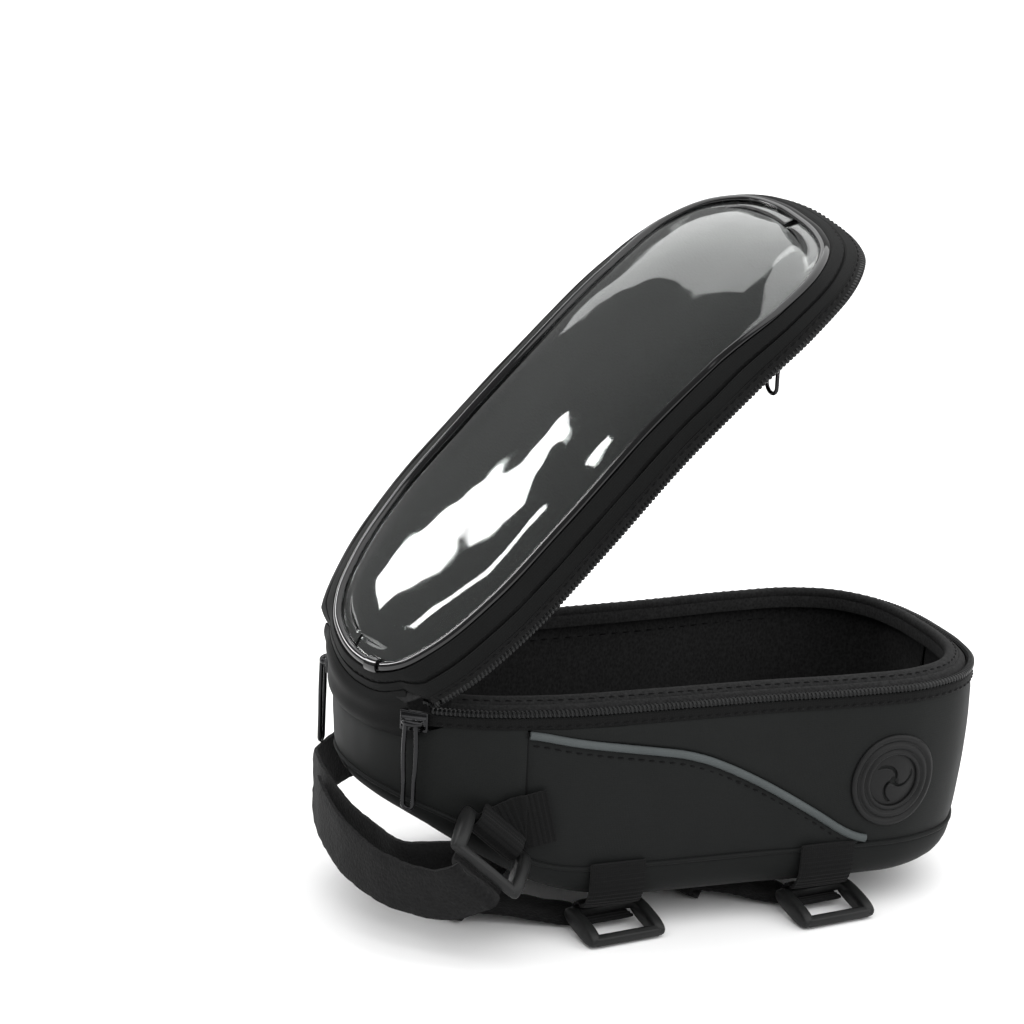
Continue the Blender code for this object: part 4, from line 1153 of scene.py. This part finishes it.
def hinge_end_straps():
    long_way = Vector((0.735, -0.19, -0.652)).normalized()
    out = Vector((-0.385, -0.819, -0.427)).normalized()
    out = (out - long_way * out.dot(long_way)).normalized()
    up = long_way.cross(out)
    up = up if up.y > 0 else -up
    outer = Vector((25.3, -60.0, 31.5))
    centre = outer - out * BAR_REACH
    buckle("buckle_hinge", centre, long_way, out)
    inner = centre - out * BAR_REACH
    rows = [(50.0, -49.3, 42.0, 0.36, -0.08, -0.93), (46.6, -48.9, 41.2, 0.46, -0.10, -0.88),
            (43.4, -48.3, 40.4, 0.56, -0.13, -0.81), (40.4, -47.4, 39.8, 0.66, -0.16, -0.73)]
    rows += round_bar(inner, out, up, 3.1, (120, 90, 60, 30, 0, -30, -60, -90, -110), long_way)
    rows.append((*(inner - out * 4.6 - up * 3.4), *long_way))
    tab = band("tab_hinge", rows, 16.5, 1.2, WEBBING, rib=0.13)
    on_bag(tab, "webbing", "tab_hinge")
    rows = [(41.0, 47.4, 38.0, 0.1, 0, -1), (30.0, 45.2, 36.5, 0.3, 0, -0.95),
            (14.0, 38.5, 33.6, 0.2, 0.1, -0.97), (1.0, 24.0, 33.4, 0.1, 0.1, -1),
            (-3.8, 9.0, 35.4, 0.0, 0.0, -1), (-4.4, -5.0, 34.0, 0.05, -0.1, -1),
            (-2.2, -18.0, 30.8, 0.15, -0.15, -0.97), (3.0, -30.0, 27.6, 0.3, -0.18, -0.93),
            (10.0, -40.5, 26.2, 0.5, -0.12, -0.87)]
    rows.append((*(outer - out * 6.4 + up * 7.2), *long_way))
    rows.append((*(outer + up * 4.8), *long_way))
    rows.append((*(outer + out * 4.2 + up * 4.5), *long_way))
    rows += [(14.0, -54.5, 22.6, 0.55, -0.1, -0.83), (6.0, -46.8, 22.4, 0.45, -0.15, -0.88),
             (-1.4, -37.0, 24.4, 0.3, -0.2, -0.93), (-6.8, -24.5, 28.6, 0.15, -0.2, -0.97),
             (-8.6, -11.0, 33.4, 0.05, -0.1, -1), (-7.4, 2.0, 36.6, 0.0, 0.0, -1)]
    strap = band("strap_hinge", rows, 18.0, 1.6, FUZZY, fuzz=0.22, per_span=10, round_tip=6)
    on_bag(strap, "hook_and_loop", "strap_hinge")


# ---------------------------------------------------------------- camera, light and floor


def aim(obj, target):
    way = Vector(target) - obj.location
    obj.rotation_euler = way.to_track_quat("-Z", "Y").to_euler()


def area_light(name, where, target, size, energy, tall=None):
    data = bpy.data.lights.new(name, "AREA")
    data.energy = energy
    data.size = size
    if tall:
        data.shape = "RECTANGLE"
        data.size_y = tall
    lamp = linked(name, data)
    lamp.location = where
    aim(lamp, target)


FLOOR = 15.0
WINDOW_AT = (-0.03, 0.0, 0.12)
LENS = 114.83
LENS_SHIFT = (0.0007, -0.0029)
CAMERA_AT = (-0.41189, -0.88930, 0.38394)
CAMERA_AXES = ((0.9298, -0.3657, 0.0425), (0.0612, 0.2675, 0.9616), (-0.363, -0.8915, 0.2711))
ROOM_LIGHT = 0.34
SKY_LIGHT = 4.6
SKY_WIDE = 120
SKY_AT = (0.45, -0.5, 1.6)


def build_studio():
    data = bpy.data.cameras.new("camera")
    data.lens = LENS
    data.sensor_width = 36.0
    data.shift_x, data.shift_y = LENS_SHIFT
    camera = linked("camera", data)
    turn = Matrix(CAMERA_AXES).transposed().to_4x4()
    camera.matrix_world = Matrix.Translation(CAMERA_AT) @ turn
    bpy.context.scene.camera = camera

    world = bpy.data.worlds.new("studio")
    bpy.context.scene.world = world
    world.use_nodes = True
    back = world.node_tree.nodes["Background"]
    back.inputs["Color"].default_value = (1.0, 1.0, 1.0, 1.0)
    back.inputs["Strength"].default_value = ROOM_LIGHT
    sun = bpy.data.lights.new("sky", "SUN")
    sun.energy = SKY_LIGHT
    sun.angle = math.radians(SKY_WIDE)
    lamp = linked("sky", sun)
    lamp.location = SKY_AT
    aim(lamp, (0, 0, 0))
    area_light("streak_box", (-0.81, 0.776, 0.626), WINDOW_AT, 0.22, 2.6, 0.26)
    area_light("edge_box", (-1.0, 0.46, 0.68), WINDOW_AT, 0.06, 0.9, 0.30)
    area_light("top_box", (-0.01, 0.945, 0.909), WINDOW_AT, 0.75, 2.3, 0.60)

    low = cad_box[0][2]
    mesh = bpy.data.meshes.new("floor")
    corners = [(-FLOOR, -FLOOR, low), (FLOOR, -FLOOR, low), (FLOOR, FLOOR, low), (-FLOOR, FLOOR, low)]
    mesh.from_pydata(corners, [], [(0, 1, 2, 3)])
    floor = linked("floor", mesh)
    mesh.materials.append(base_material("floor", (0.9, 0.9, 0.9), 0.9)[0])
    bpy.context.scene.view_settings.view_transform = "Standard"


build_studio()
build_walls()
build_base()
build_lining()
build_rim()
build_lid()
build_zip_tails()
build_hinge_cloth()
build_ports()
build_sliders()
build_straps()
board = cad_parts["base_board"]
board.data.materials.clear()
board.data.materials.append(BOARD)
